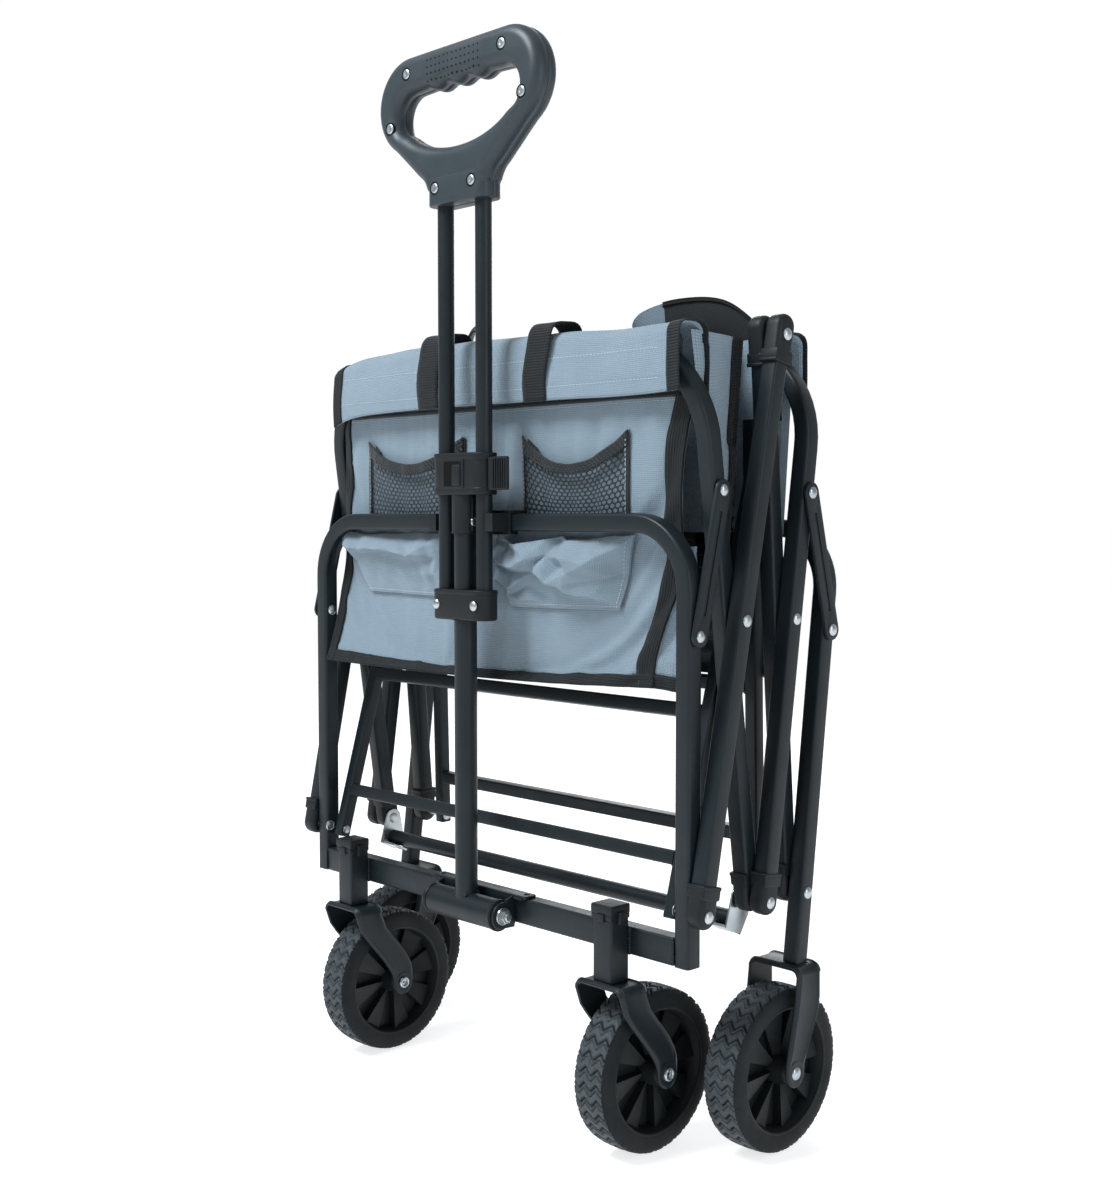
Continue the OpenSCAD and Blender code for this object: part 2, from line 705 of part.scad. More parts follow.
module rear_panel() color(cloth) {
  y = rear_hoop_top[0];
  top = rear_hoop_top[1];
  sleeve_half = 196;
  difference() {
    span(-sleeve_half, sleeve_half, y - 13, y + 13, top - 34, top + 13);
    stand(rear_hoop_top, rear_hoop_lean)
      span(-210, 210, -tube / 2 - 0.4, tube / 2 + 0.4, -tube / 2 - 0.4, tube / 2 + 0.4);
  }
  span(-panel_half, panel_half, y - 2 - cloth_t, y - 2, panel_bottom, top - 34);
}

// Gathered cloth between the two hoops on each side, inside the floor halves
module side_panels() color(cloth) both_sides()
  span(204, 219, front_hoop_top[0] + 22, rear_hoop_top[0] - 22, 545, 726);

// Floor cloth bunched on the inner end of each floor half
module floor_cloth(p, lean, len, y0, y1) color(cloth_dark) stand(p, lean)
  span(-200, 200, y0, y1, 190, len - 14);

module floor_cloth_front() floor_cloth(floor_pivot, floor_front_lean, floor_front_len,
  -floor_tube / 2 - 1 - cloth_t, -floor_tube / 2 - 1);
module floor_cloth_rear() floor_cloth(rear_pivot, floor_rear_lean, floor_rear_len,
  floor_tube / 2 + 1, floor_tube / 2 + 1 + cloth_t);

// ---- nodes ----

front_frame();
caster_posts();
post_caps();
pull_bracket();
pull_bolt();
handle_clip();
front_leg_pins();
front_fork(-1);  // front_fork_left
front_fork(1);  // front_fork_right
axle_bolt(-front_wheel_x, front_axle);  // front_axle_left
axle_bolt(front_wheel_x, front_axle);  // front_axle_right
tyre(-front_wheel_x, front_axle);  // front_tyre_left
tyre(front_wheel_x, front_axle);  // front_tyre_right
hub(-front_wheel_x, front_axle);  // front_hub_left
hub(front_wheel_x, front_axle);  // front_hub_right
tyre(-rear_wheel_x, rear_axle);  // rear_tyre_left
tyre(rear_wheel_x, rear_axle);  // rear_tyre_right
hub(-rear_wheel_x, rear_axle);  // rear_hub_left
hub(rear_wheel_x, rear_axle);  // rear_hub_right
lift_bars();
lift_bar_caps();
top_rivets();
front_hoop();
front_hoop_ends();
front_hoop_rivets();
rear_hoop();
rear_hoop_ends();
rear_hoop_rivets();
rear_lift_bars();
rear_lift_caps();
rear_bar_rivets();
rear_frame();
rear_forks();
rear_axles();
rear_leg_pins();
front_links();
front_link_pins();
rear_links();
floor_frame_front();
floor_frame_rear();
centre_brackets();
centre_tube();
pull_tube();
barrel_bushes();
rod_clamp();
clamp_screw();
clamp_button();
slide_rods();
rod_carrier();
carrier_rivets();
grip_half(-1);  // grip_front
grip_half(1);  // grip_rear
grip_screws();
front_panel();
rear_panel();
side_panels();
floor_cloth_front();
floor_cloth_rear();
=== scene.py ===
import bpy, bmesh, random
from math import atan2, cos, degrees, exp, pi, radians, sin, sqrt, tan
from mathutils import Vector, Matrix, noise, geometry
from mathutils.bvhtree import BVHTree


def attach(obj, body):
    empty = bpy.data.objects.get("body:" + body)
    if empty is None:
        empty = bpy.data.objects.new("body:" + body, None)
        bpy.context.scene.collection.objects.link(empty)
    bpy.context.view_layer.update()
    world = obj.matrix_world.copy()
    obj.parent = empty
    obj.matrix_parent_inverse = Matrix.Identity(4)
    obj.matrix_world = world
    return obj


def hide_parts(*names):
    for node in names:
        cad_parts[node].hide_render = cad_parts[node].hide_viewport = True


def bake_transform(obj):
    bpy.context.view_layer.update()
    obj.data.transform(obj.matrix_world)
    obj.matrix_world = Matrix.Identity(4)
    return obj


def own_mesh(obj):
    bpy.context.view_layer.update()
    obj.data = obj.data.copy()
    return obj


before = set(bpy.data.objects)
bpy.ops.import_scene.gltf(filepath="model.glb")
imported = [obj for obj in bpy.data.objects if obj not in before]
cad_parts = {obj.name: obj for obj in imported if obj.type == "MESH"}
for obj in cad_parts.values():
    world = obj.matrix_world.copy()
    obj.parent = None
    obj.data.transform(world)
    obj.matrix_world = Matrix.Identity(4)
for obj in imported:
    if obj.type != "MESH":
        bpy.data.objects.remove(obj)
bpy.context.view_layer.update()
random.seed(7)

# ------------------------------------------------------------------ layout (mm, degrees)
FY = -67.1                     # middle plane of the front frame
TUBE = 17.0                    # square tube of frames, hoops and lifting bars
FRAME_W = 543.4
FRAME_LOW, FRAME_TOP = 187.2, 579.2
IN_X = (FRAME_W - TUBE) / 2    # inner layer of tubes, and the outer one beside it
OUT_X = IN_X + TUBE + 1
IN_FACE = IN_X - TUBE / 2
OUT_FACE = OUT_X + TUBE / 2
LINK_X = FRAME_W / 2           # outer face of the inner layer
LIFT_LEAN, HOOP_LEAN, REAR_BAR_LEAN, REAR_LEG_LEAN, FLOOR_LEAN = 11.5, -7.9, -4.4, 6.8, 15.6
FLOOR_LEN = 449
CASTER_X, REAR_X = 191, 270
ROD_X = 27.5                   # sliding tubes of the handle
BARREL_Z = 196.4               # pivot height of the handle
SEAM_Z = 684                   # where the panels are sewn to the hems


def up(a):
    a = radians(a)
    return Vector((0, sin(a), cos(a)))


def lean(v):
    return degrees(atan2(v.y, v.z))


def pt(y, z):
    return Vector((0, y, z))


# pivots: A0 lifting bar foot, T top, M1 and M2 crossings, S centre, D0 rear bar foot, L1..LC link ends
A0 = pt(FY - 4.4, 236.2)
T = A0 + 510 * up(LIFT_LEAN)
M1 = A0 + 255 * up(LIFT_LEAN)
S = M1 - 255 * up(HOOP_LEAN)
D0 = T - 504 * up(REAR_BAR_LEAN)
M2 = T - 252 * up(REAR_BAR_LEAN)
C_HALF = (M2 - S).length
C_LEAN = lean(M2 - S)
B_TOP = M1 + 247 * up(HOOP_LEAN)
C_TOP = M2 + 247 * up(C_LEAN)
L1 = pt(FY + 1, 474.1)
LB = M1 + 114 * up(HOOP_LEAN)
L2 = D0 + 241 * up(REAR_LEG_LEAN)
LC = M2 + 114 * up(C_LEAN)
F0 = pt(FY + 4.8, 233)
TIP = F0 + FLOOR_LEN * up(FLOOR_LEAN)
R_LEN = (TIP - D0).length
R_LEAN = lean(TIP - D0)
F_AXLE = pt(FY + 24.2, 75)
R_AXLE = pt(FY + 108.3, 75)
POST_Y = FY - 20.4
HY = FY - 25.2                 # plane of the handle
GZ = 874.0                     # foot of the grip


def unit(x):
    """x kept between 0 and 1."""
    return min(max(x, 0), 1)


def shift(x, y, z):
    return Matrix.Translation((x, y, z))


def turn(a, axis):
    return Matrix.Rotation(radians(a), 4, axis)


def stand(p, a=0.0):
    """Matrix that stands local Z on p, leaning rearward by a degrees."""
    return Matrix.Translation(p) @ turn(-a, "X")


# ------------------------------------------------------------------ materials
def nodes_of(mat):
    mat.use_nodes = True
    nt = mat.node_tree
    nt.nodes.clear()
    out = nt.nodes.new("ShaderNodeOutputMaterial")
    b = nt.nodes.new("ShaderNodeBsdfPrincipled")
    nt.links.new(b.outputs[0], out.inputs[0])
    return nt, b


def node(nt, kind, **sets):
    n = nt.nodes.new(kind)
    for k, v in sets.items():
        if k.startswith("i_"):
            n.inputs[k[2:].replace("_", " ")].default_value = v
        else:
            setattr(n, k, v)
    return n


def noise_node(nt, coords, scale, detail=3.0, rough=0.55):
    n = node(nt, "ShaderNodeTexNoise", i_Scale=scale, i_Detail=detail, i_Roughness=rough)
    nt.links.new(coords, n.inputs["Vector"])
    return n.outputs[0]


def remap(nt, value, lo, hi, f0=0.3, f1=0.7):
    n = nt.nodes.new("ShaderNodeMapRange")
    nt.links.new(value, n.inputs[0])
    for i, v in enumerate((f0, f1, lo, hi)):
        n.inputs[i + 1].default_value = v
    return n.outputs[0]


def mix(nt, fac, a, b, blend="MIX"):
    n = nt.nodes.new("ShaderNodeMix")
    n.data_type = "RGBA"
    n.blend_type = blend
    if isinstance(fac, float):
        n.inputs[0].default_value = fac
    else:
        nt.links.new(fac, n.inputs[0])
    for slot, v in ((6, a), (7, b)):
        if isinstance(v, tuple):
            n.inputs[slot].default_value = (*v, 1)
        else:
            nt.links.new(v, n.inputs[slot])
    return n.outputs[2]


def maths(nt, op, a, b=None):
    n = nt.nodes.new("ShaderNodeMath")
    n.operation = op
    for i, v in enumerate((a, b)):
        if v is None:
            continue
        if isinstance(v, (int, float)):
            n.inputs[i].default_value = float(v)
        else:
            nt.links.new(v, n.inputs[i])
    return n.outputs[0]


def bump(nt, bsdf, height, dist, strength=1.0, under=None):
    n = node(nt, "ShaderNodeBump", i_Strength=strength, i_Distance=dist)
    nt.links.new(height, n.inputs["Height"])
    if under is not None:
        nt.links.new(under, n.inputs["Normal"])
    nt.links.new(n.outputs[0], bsdf.inputs["Normal"])
    return n.outputs[0]


def solid(name, light, dark, rough, rough_to=None, metallic=0.0, grain=900.0, grain_dist=0.00006,
          spec=0.5, coat=0.0, blotch=9.0):
    """Metal or plastic: two tones over a soft blotch, roughness that wanders, and a fine grain."""
    m = bpy.data.materials.new(name)
    nt, b = nodes_of(m)
    co = nt.nodes.new("ShaderNodeTexCoord").outputs["Object"]
    big = noise_node(nt, co, blotch, 4.0)
    fine = noise_node(nt, co, grain, 2.0)
    nt.links.new(mix(nt, remap(nt, big, 0, 1), light, dark), b.inputs["Base Color"])
    nt.links.new(remap(nt, noise_node(nt, co, 40, 4.0, 0.65), rough, rough_to or rough + 0.12),
                 b.inputs["Roughness"])
    b.inputs["Metallic"].default_value = metallic
    b.inputs["Specular IOR Level"].default_value = spec
    b.inputs["Coat Weight"].default_value = coat
    bump(nt, b, fine, grain_dist)
    return m


def woven(name, thread_a, dark_slub_and_gap_shade, pitch, rough=0.75, depth=0.00022, sheen=0.25, rib=None):
    """Plain weave on the piece's own UV in metres; rib makes it ribbed webbing along V."""
    m = bpy.data.materials.new(name)
    nt, b = nodes_of(m)
    uv = nt.nodes.new("ShaderNodeTexCoord").outputs["UV"]
    sep = nt.nodes.new("ShaderNodeSeparateXYZ")
    nt.links.new(uv, sep.inputs[0])
    u = maths(nt, "MULTIPLY", sep.outputs[0], 1 / pitch)
    v = maths(nt, "MULTIPLY", sep.outputs[1], 1 / (rib or pitch))
    over = maths(nt, "MODULO", maths(nt, "ADD", maths(nt, "FLOOR", u), maths(nt, "FLOOR", v)), 2)
    warp = maths(nt, "ABSOLUTE", maths(nt, "SINE", maths(nt, "MULTIPLY", u, pi)))
    weft = maths(nt, "ABSOLUTE", maths(nt, "SINE", maths(nt, "MULTIPLY", v, pi)))
    if rib:
        height = maths(nt, "ADD", maths(nt, "MULTIPLY", weft, 0.8), maths(nt, "MULTIPLY", warp, 0.2))
    else:
        height = maths(nt, "ADD", maths(nt, "MULTIPLY", warp, over),
                       maths(nt, "MULTIPLY", weft, maths(nt, "SUBTRACT", 1, over)))
    stretch = node(nt, "ShaderNodeMapping")
    stretch.inputs["Scale"].default_value = (60, 900, 1)
    nt.links.new(uv, stretch.inputs[0])
    slub = noise_node(nt, stretch.outputs[0], 1.0, 3.0)
    soft = noise_node(nt, uv, 9.0, 3.0)
    # gaps between threads painted darker than the thread crowns as shade; the slub and soft noise below add
    # real darker tone
    tone = mix(nt, remap(nt, height, 0.0, 1.0, 0.1, 0.9), dark_slub_and_gap_shade, thread_a)
    tone = mix(nt, remap(nt, slub, 0.0, 0.35, 0.35, 0.75), tone, dark_slub_and_gap_shade)
    tone = mix(nt, remap(nt, soft, 0.0, 0.22), tone, dark_slub_and_gap_shade)
    nt.links.new(tone, b.inputs["Base Color"])
    nt.links.new(remap(nt, height, rough + 0.12, rough - 0.08, 0, 1), b.inputs["Roughness"])
    b.inputs["Sheen Weight"].default_value = sheen
    b.inputs["Sheen Roughness"].default_value = 0.4
    b.inputs["Specular IOR Level"].default_value = 0.3
    bump(nt, b, height, depth)
    return m


METAL = solid("powder coat", (0.0095, 0.0155, 0.0195), (0.0062, 0.0105, 0.0135), 0.34, 0.48, 0.0, 1500,
              0.00005, 0.27)
# near-black material painted as the shade inside recesses: the clamp window, the grip's screw bores and its
# dimples
RECESS_SHADE = solid("shaded recess", (0.0016, 0.0022, 0.0028), (0.0010, 0.0014, 0.0018), 0.65, 0.75, spec=0.12)
ZINC = solid("zinc plate", (0.52, 0.56, 0.58), (0.36, 0.40, 0.43), 0.24, 0.42, 1.0, 600, 0.00004)
PLASTIC = solid("moulded plastic", (0.0075, 0.0105, 0.0125), (0.0050, 0.0075, 0.0090), 0.42, 0.56, 0.0,
                1800, 0.00008, 0.26)
GRIP = solid("grip plastic", (0.0250, 0.0365, 0.0450), (0.0180, 0.0265, 0.0330), 0.36, 0.50, 0.0, 1400,
             0.00010, 0.42)
RUBBER = solid("tyre side", (0.0075, 0.0100, 0.0120), (0.0050, 0.0070, 0.0085), 0.55, 0.72, 0.0, 1100,
               0.0001, 0.22)
CLOTH = woven("grey blue cloth", (0.262, 0.350, 0.422), (0.150, 0.200, 0.243), 0.0017, depth=0.0003)
LINING = woven("black lining", (0.014, 0.018, 0.021), (0.005, 0.007, 0.008), 0.0015, 0.6)
WEBBING = woven("black webbing", (0.0095, 0.0130, 0.0155), (0.0020, 0.0030, 0.0035), 0.0011, 0.7,
                0.0006, 0.06, 0.0026)
ELASTIC = woven("ribbed elastic", (0.020, 0.026, 0.030), (0.004, 0.006, 0.007), 0.0024, 0.6,
                0.0006, 0.12)
NET = solid("net", (0.016, 0.022, 0.026), (0.010, 0.014, 0.017), 0.55, 0.7, spec=0.3)
THREAD = solid("white thread", (0.52, 0.60, 0.66), (0.36, 0.43, 0.48), 0.6, 0.7)


def tread_material():
    m = bpy.data.materials.new("tyre tread")
    nt, b = nodes_of(m)
    co = nt.nodes.new("ShaderNodeTexCoord").outputs["Object"]
    at = nt.nodes.new("ShaderNodeAttribute")
    at.attribute_name = "tread"
    scuff = noise_node(nt, co, 260, 5.0, 0.7)
    # block tops painted lighter than the grooves as painted light and shade, the grooves left dark; scuff
    # noise varies how much
    lit_tops_and_scuff = maths(nt, "MULTIPLY", at.outputs["Fac"], remap(nt, scuff, 0.45, 1.0, 0.38, 0.62))
    nt.links.new(mix(nt, lit_tops_and_scuff, (0.008, 0.011, 0.013), (0.052, 0.066, 0.076)), b.inputs["Base Color"])
    nt.links.new(remap(nt, scuff, 0.5, 0.78), b.inputs["Roughness"])
    b.inputs["Specular IOR Level"].default_value = 0.4
    bump(nt, b, scuff, 0.0004, 0.6)
    return m


TREAD = tread_material()


# ------------------------------------------------------------------ mesh helpers (mm in, m out)
def link(me, name, mats, smooth=35.0):
    ob = bpy.data.objects.new(name.replace(" ", "_"), me)
    bpy.context.collection.objects.link(ob)
    for m in mats if isinstance(mats, (list, tuple)) else [mats]:
        me.materials.append(m)
    if smooth:
        me.polygons.foreach_set("use_smooth", [True] * len(me.polygons))
        if smooth < 180:
            me.set_sharp_from_angle(angle=radians(smooth))
    return ob


def build(name, verts, faces, mats, smooth=35.0, mat_ids=None, uv=None):
    me = bpy.data.meshes.new(name)
    me.from_pydata([Vector(v) * 0.001 for v in verts], [], faces)
    if mat_ids:
        me.polygons.foreach_set("material_index", mat_ids)
    if uv:
        layer = me.uv_layers.new(name="UVMap")
        flat = []
        for lp in me.loops:
            a = uv[lp.vertex_index]
            flat += [a[0] * 0.001, a[1] * 0.001]
        layer.data.foreach_set("uv", flat)
    me.validate()
    me.update()
    return link(me, name, mats, smooth)


def edit(me, *steps):
    """Change a mesh by steps that work on its bmesh."""
    bm = bmesh.new()
    bm.from_mesh(me)
    for step in steps:
        step(bm)
    bm.to_mesh(me)
    bm.free()


def outward(bm):
    bmesh.ops.recalc_face_normals(bm, faces=bm.faces)


def merge(dist):
    return lambda bm: bmesh.ops.remove_doubles(bm, verts=bm.verts, dist=dist)


def fixed(ob):
    edit(ob.data, outward)
    return ob


def join(objs, name):
    """One mesh out of several, keeping their materials."""
    bpy.context.view_layer.update()
    keep = objs[0]
    with bpy.context.temp_override(active_object=keep, selected_editable_objects=objs):
        bpy.ops.object.join()
    keep.name = name.replace(" ", "_")
    keep.data.name = name
    return keep


def apply_mods(ob):
    dg = bpy.context.evaluated_depsgraph_get()
    me = bpy.data.meshes.new_from_object(ob.evaluated_get(dg))
    ob.modifiers.clear()
    ob.data = me


def moved(ob, m):
    """Bake a matrix given in mm into the mesh; None leaves it where it is."""
    if m is None:
        return ob
    m = m.copy()
    m.translation *= 0.001
    ob.data.transform(m)
    if m.determinant() < 0:
        ob.data.flip_normals()
    return ob


MIRROR = Matrix.Scale(-1, 4, (1, 0, 0))
FLIPZ = Matrix.Scale(-1, 4, (0, 0, 1))
BOTH = (Matrix(), MIRROR)


def sided(ob):
    """The object drawn for +X and its mirror image."""
    c = ob.copy()
    c.data = ob.data.copy()
    bpy.context.collection.objects.link(c)
    return [ob, moved(c, MIRROR)]


def put(ob, body, *nodes):
    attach(ob, body)
    if nodes:
        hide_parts(*nodes)


def piece(name, body, parts, node=None):
    """Join parts into one piece that rides a body and stands for the CAD node of the same name."""
    ob = join([fixed(o) for o in parts], name) if len(parts) > 1 else parts[0]
    put(ob, body, node or name.replace(" ", "_"))


def tube_faces(rows, n):
    """Quads between rings of n points, and a face on each end."""
    quads = [(i * n + j, i * n + (j + 1) % n, (i + 1) * n + (j + 1) % n, (i + 1) * n + j)
             for i in range(rows - 1) for j in range(n)]
    return quads + [tuple(range(n))[::-1], tuple((rows - 1) * n + j for j in range(n))]


def turned_faces(n, rows):
    """Quads of a surface turned in n steps, each with a profile of so many points."""
    return [(i * rows + j, i * rows + j + 1, (i + 1) % n * rows + j + 1, (i + 1) % n * rows + j)
            for i in range(n) for j in range(rows - 1)]


def rounded_square(side, r, n=4, dent=0.0):
    """Profile points (a, b); dent pushes the middle of the -a face inward."""
    h = side / 2
    out = []
    for cx, cy, a0 in ((h - r, h - r, 0), (-h + r, h - r, 90), (-h + r, -h + r, 180), (h - r, -h + r, 270)):
        for i in range(n + 1):
            a = radians(a0 + 90 * i / n)
            out.append((cx + r * cos(a), cy + r * sin(a)))
        if a0 == 90 and dent:
            for f in (0.33, 0.0, -0.33):
                out.append((-h + dent, f * (h - r) * 1.6))
    return out


def sweep(name, stations, profile_at, mat, m=None):
    """stations: (point, in-plane normal) in a plane whose third axis is +Y. profile_at(i) -> [(a, b)]."""
    verts = []
    for i, (p, nrm) in enumerate(stations):
        prof = profile_at(i)
        verts += [p + nrm * a + Vector((0, b, 0)) for a, b in prof]
    return moved(fixed(build(name, verts, tube_faces(len(stations), len(prof)), mat)), m)


def u_stations(half, bottom, top, bend, n=14):
    """Stations (point, normal, angle) of an inverted U in XZ, from the +X leg over the top to the -X leg."""
    right = [(Vector((half, 0, bottom)), 0.0)]
    for f in (0.25, 0.5, 0.75, 0.94):
        right.append((Vector((half, 0, bottom + (top - bend - bottom) * f)), 0.0))
    for i in range(n + 1):
        a = 90 * i / n
        r = radians(a)
        right.append((Vector((half - bend + bend * cos(r), 0, top - bend + bend * sin(r))), a))
    right.append((Vector(((half - bend) * 0.5, 0, top)), 90.0))
    st = []
    for p, a in right:
        r = radians(a)
        st.append((p, Vector((cos(r), 0, sin(r))), a))
    for p, nrm, a in reversed(st[:]):
        st.append((Vector((-p.x, 0, p.z)), Vector((-nrm.x, 0, nrm.z)), 180 - a))
    return st


def u_tube(name, half, bottom, top, bend, m, dent=2.2):
    """Square tube bent into an inverted U, its inner face pressed in along the bends."""
    st = u_stations(half, bottom, top, bend)

    def prof(i):
        a = st[i][2] % 180
        a = min(a, 180 - a)
        k = sin(radians(min(max(a, 0), 90) * 2)) ** 0.6 if 0 < a < 90 else 0.0
        d = dent * k
        pts = rounded_square(TUBE, 3.0, 4, 0.0001 + d)
        if d:
            pts = [(x + (0.0 if x > 0 else 0.25 * d), y * (1 + 0.012 * d)) for x, y in pts]
        return pts

    return sweep(name, [(p, n) for p, n, _ in st], prof, METAL, m)


def bar(name, x, z0, z1, side, m, r=2.8):
    """Square tube along local Z with softened ends."""
    st = [(Vector((x, 0, z)), Vector((1, 0, 0))) for z in (z0, z0 + 0.4, z0 + (z1 - z0) / 2, z1 - 0.4, z1)]

    def prof(i):
        s = side - (0.8 if i in (0, 4) else 0)
        return rounded_square(s, min(r, s / 2.2), 4)

    return sweep(name, st, prof, METAL, m)


def lathe(name, prof, mat, m=None, n=40, smooth=40.0):
    """Revolve (distance along X, radius) about the X axis."""
    verts = []
    for i in range(n):
        a = 2 * pi * i / n
        verts += [(x, r * cos(a), r * sin(a)) for x, r in prof]
    ob = build(name, verts, turned_faces(n, len(prof)), mat, smooth)
    edit(ob.data, merge(1e-6), outward)
    return moved(ob, m)


def plate(name, loops, thick, bevel, mat, m=None, res=2, smooth=40.0):
    """Flat part from closed XY outlines (first is the outside), thick along Z, with rounded edges."""
    cu = bpy.data.curves.new(name, "CURVE")
    cu.dimensions = "2D"
    cu.fill_mode = "BOTH"
    cu.extrude = (thick / 2 - bevel) * 0.001
    cu.bevel_depth = bevel * 0.001
    cu.bevel_resolution = res
    cu.offset = -bevel * 0.001
    for lp in loops:
        sp = cu.splines.new("POLY")
        sp.points.add(len(lp) - 1)
        for q, (x, y) in zip(sp.points, lp):
            q.co = (x * 0.001, y * 0.001, 0, 1)
        sp.use_cyclic_u = True
    tmp = bpy.data.objects.new(name, cu)
    bpy.context.collection.objects.link(tmp)
    bpy.context.view_layer.update()
    me = bpy.data.meshes.new_from_object(tmp.evaluated_get(bpy.context.evaluated_depsgraph_get()))
    bpy.data.objects.remove(tmp)
    edit(me, merge(2e-6), outward)
    me.materials.clear()
    return moved(link(me, name, mat, smooth), m)


def arc(cx, cy, r, a0, a1, n=12):
    return [(cx + r * cos(radians(a0 + (a1 - a0) * i / n)),
             cy + r * sin(radians(a0 + (a1 - a0) * i / n))) for i in range(n + 1)]


def circle(cx, cy, r, n):
    return arc(cx, cy, r, 0, 360, n)[:-1]


def rrect(x0, x1, y0, y1, r, n=5):
    return (arc(x1 - r, y1 - r, r, 0, 90, n) + arc(x0 + r, y1 - r, r, 90, 180, n)
            + arc(x0 + r, y0 + r, r, 180, 270, n) + arc(x1 - r, y0 + r, r, 270, 360, n))


def block(name, x0, x1, y0, y1, z0, z1, r, mat):
    """Box with rounded vertical corners and rounded rims."""
    return plate(name, [rrect(x0, x1, y0, y1, max(r, 0.6))], z1 - z0, min(r, (z1 - z0) / 2.2), mat,
                 shift(0, 0, (z0 + z1) / 2))


# plate() axes: local X, Y of the outline, thickness Z. These turn it into other planes.
TO_YZ = Matrix(((0, 0, 1, 0), (1, 0, 0, 0), (0, 1, 0, 0), (0, 0, 0, 1)))   # outline = (Y, Z), thick X
TO_XZ = Matrix(((1, 0, 0, 0), (0, 0, 1, 0), (0, 1, 0, 0), (0, 0, 0, 1)))   # outline = (X, Z), thick Y


def yz_plate(name, loops, x0, x1, bevel, mat, res=2):
    m = shift((x0 + x1) / 2, 0, 0) @ TO_YZ
    return fixed(plate(name, loops, abs(x1 - x0), bevel, mat, m, res))


DOME = [(0.0, 1.0), (0.18, 0.97), (0.42, 0.86), (0.68, 0.66), (0.88, 0.40), (1.0, 0.0)]


def head(x0, h=2.6, r=5.6, m=None, hollow=False):
    """Domed or hollow rivet head facing +X from x0."""
    prof = [(-0.2, 0.0), (-0.2, r * 0.98)] + [(h * a, r * b) for a, b in DOME]
    if hollow:
        prof = [(-0.2, r), (h * 0.5, r * 0.98), (h * 0.9, r * 0.86), (h, r * 0.74), (h * 0.85, r * 0.62),
                (0.3, r * 0.56), (0.0, 0.0)]
    return moved(lathe("head", prof, ZINC, shift(x0, 0, 0), 28, 60), m)


def rivets(heads, pins=()):
    """Both sides' rivet heads (pivot, x, height, radius) and bare pins (pivot, x0, x1)."""
    out = []
    for side in BOTH:
        out += [head(x, *size, m=stand(p) @ side) for p, x, *size in heads]
        out += [lathe("pin", [(x0, 3), (x1, 3)], ZINC, stand(p) @ side) for p, x0, x1 in pins]
    return out


def weld(p, d, length, r=2.0, n=9):
    """Weld bead: overlapping blobs from p along d."""
    d = Vector(d).normalized()
    verts, faces = [], []
    for i in range(n):
        c = Vector(p) + d * (length * (i + 0.5) / n)
        rr = r * (0.85 + 0.3 * random.random())
        base = len(verts)
        for a in range(6):
            th = 2 * pi * a / 6
            for b in range(5):
                ph = pi * (b + 0.5) / 5
                flat = sin(ph)
                verts.append(c + Vector((flat * cos(th), flat * sin(th), cos(ph))) * rr)
        ends = [tuple(a * 5 for a in range(6))[::-1], tuple(a * 5 + 4 for a in range(6))]
        faces += [tuple(base + q for q in f) for f in turned_faces(6, 5) + ends]
    return fixed(build("weld", verts, faces, METAL, 180))


# ------------------------------------------------------------------ front frame
parts = [u_tube("front frame", IN_X, FRAME_LOW, FRAME_TOP - TUBE / 2, 60, shift(0, FY, 0)),
         block("bottom bar", -IN_FACE, IN_FACE, FY - 8.5, FY + 8.5, FRAME_LOW, FRAME_LOW + 25, 2.2, METAL)]
for s in (-1, 1):
    parts.append(weld((s * IN_FACE, FY - 9, 189), (0, 0, 1), 20, 1.6))
    for e in (-1, 1):
        parts.append(weld((s * CASTER_X + e * 12.2, FY - 9, 188), (0, 0, 1), 24, 2.0))
piece("front frame", "front_frame", parts)

parts = []
for x in (-CASTER_X, CASTER_X):
    parts.append(block("post", x - 11.5, x + 11.5, POST_Y - 11.5, POST_Y + 11.8, 163, 225.2, 2.4, METAL))
    parts.append(weld((x - 10, POST_Y - 11.6, 163.6), (1, 0, 0), 20, 1.2))
piece("caster posts", "front_frame", parts)
parts = []
for x in (-CASTER_X, CASTER_X):
    # offset and half width in x, y from and to about the post, z from and to, rounding
    for dx, half, y0, y1, z0, z1, r in (
            (0, 13, -13, 11.8, 225.25, 234.2, 1.6), (0, 12.4, -12.4, 11.6, 221, 226, 0.8),
            (-13, 3.4, -5, 5, 217.2, 228.2, 1.0), (13, 3.4, -5, 5, 217.2, 228.2, 1.0),
            (0, 4, -14, -11, 219.2, 226, 0.6)):
        parts.append(block("cap", x + dx - half, x + dx + half, POST_Y + y0, POST_Y + y1, z0, z1, r, PLASTIC))
piece("post caps", "front_frame", parts)

BY = FY - 8.5
parts = [plate("front web", [rrect(-53, 53, 185.2, 213, 3)], 3, 0.8, METAL,
               shift(0, BY - 1.5, 0) @ TO_XZ),
         plate("top flange", [rrect(-69, 69, BY - 3, BY + 13, 3), circle(62, BY + 6, 2.6, 14),
                              circle(-62, BY + 6, 2.6, 14)], 3, 0.9, METAL, shift(0, 0, 213.7))]
for s in (-1, 1):
    ear = [(BY - 1, 183.5), (BY - 1, 214.5), (HY + 4, 211)] + arc(HY, BARREL_Z, 13, 75, 285, 16)
    parts.append(yz_plate("ear", [ear[::-1]], s * 50, s * 53, 0.8, METAL))
    parts.append(weld((s * 54, BY - 4, 212.4), (s, 0, 0), 12, 1.3))
piece("pull bracket", "front_frame", parts)

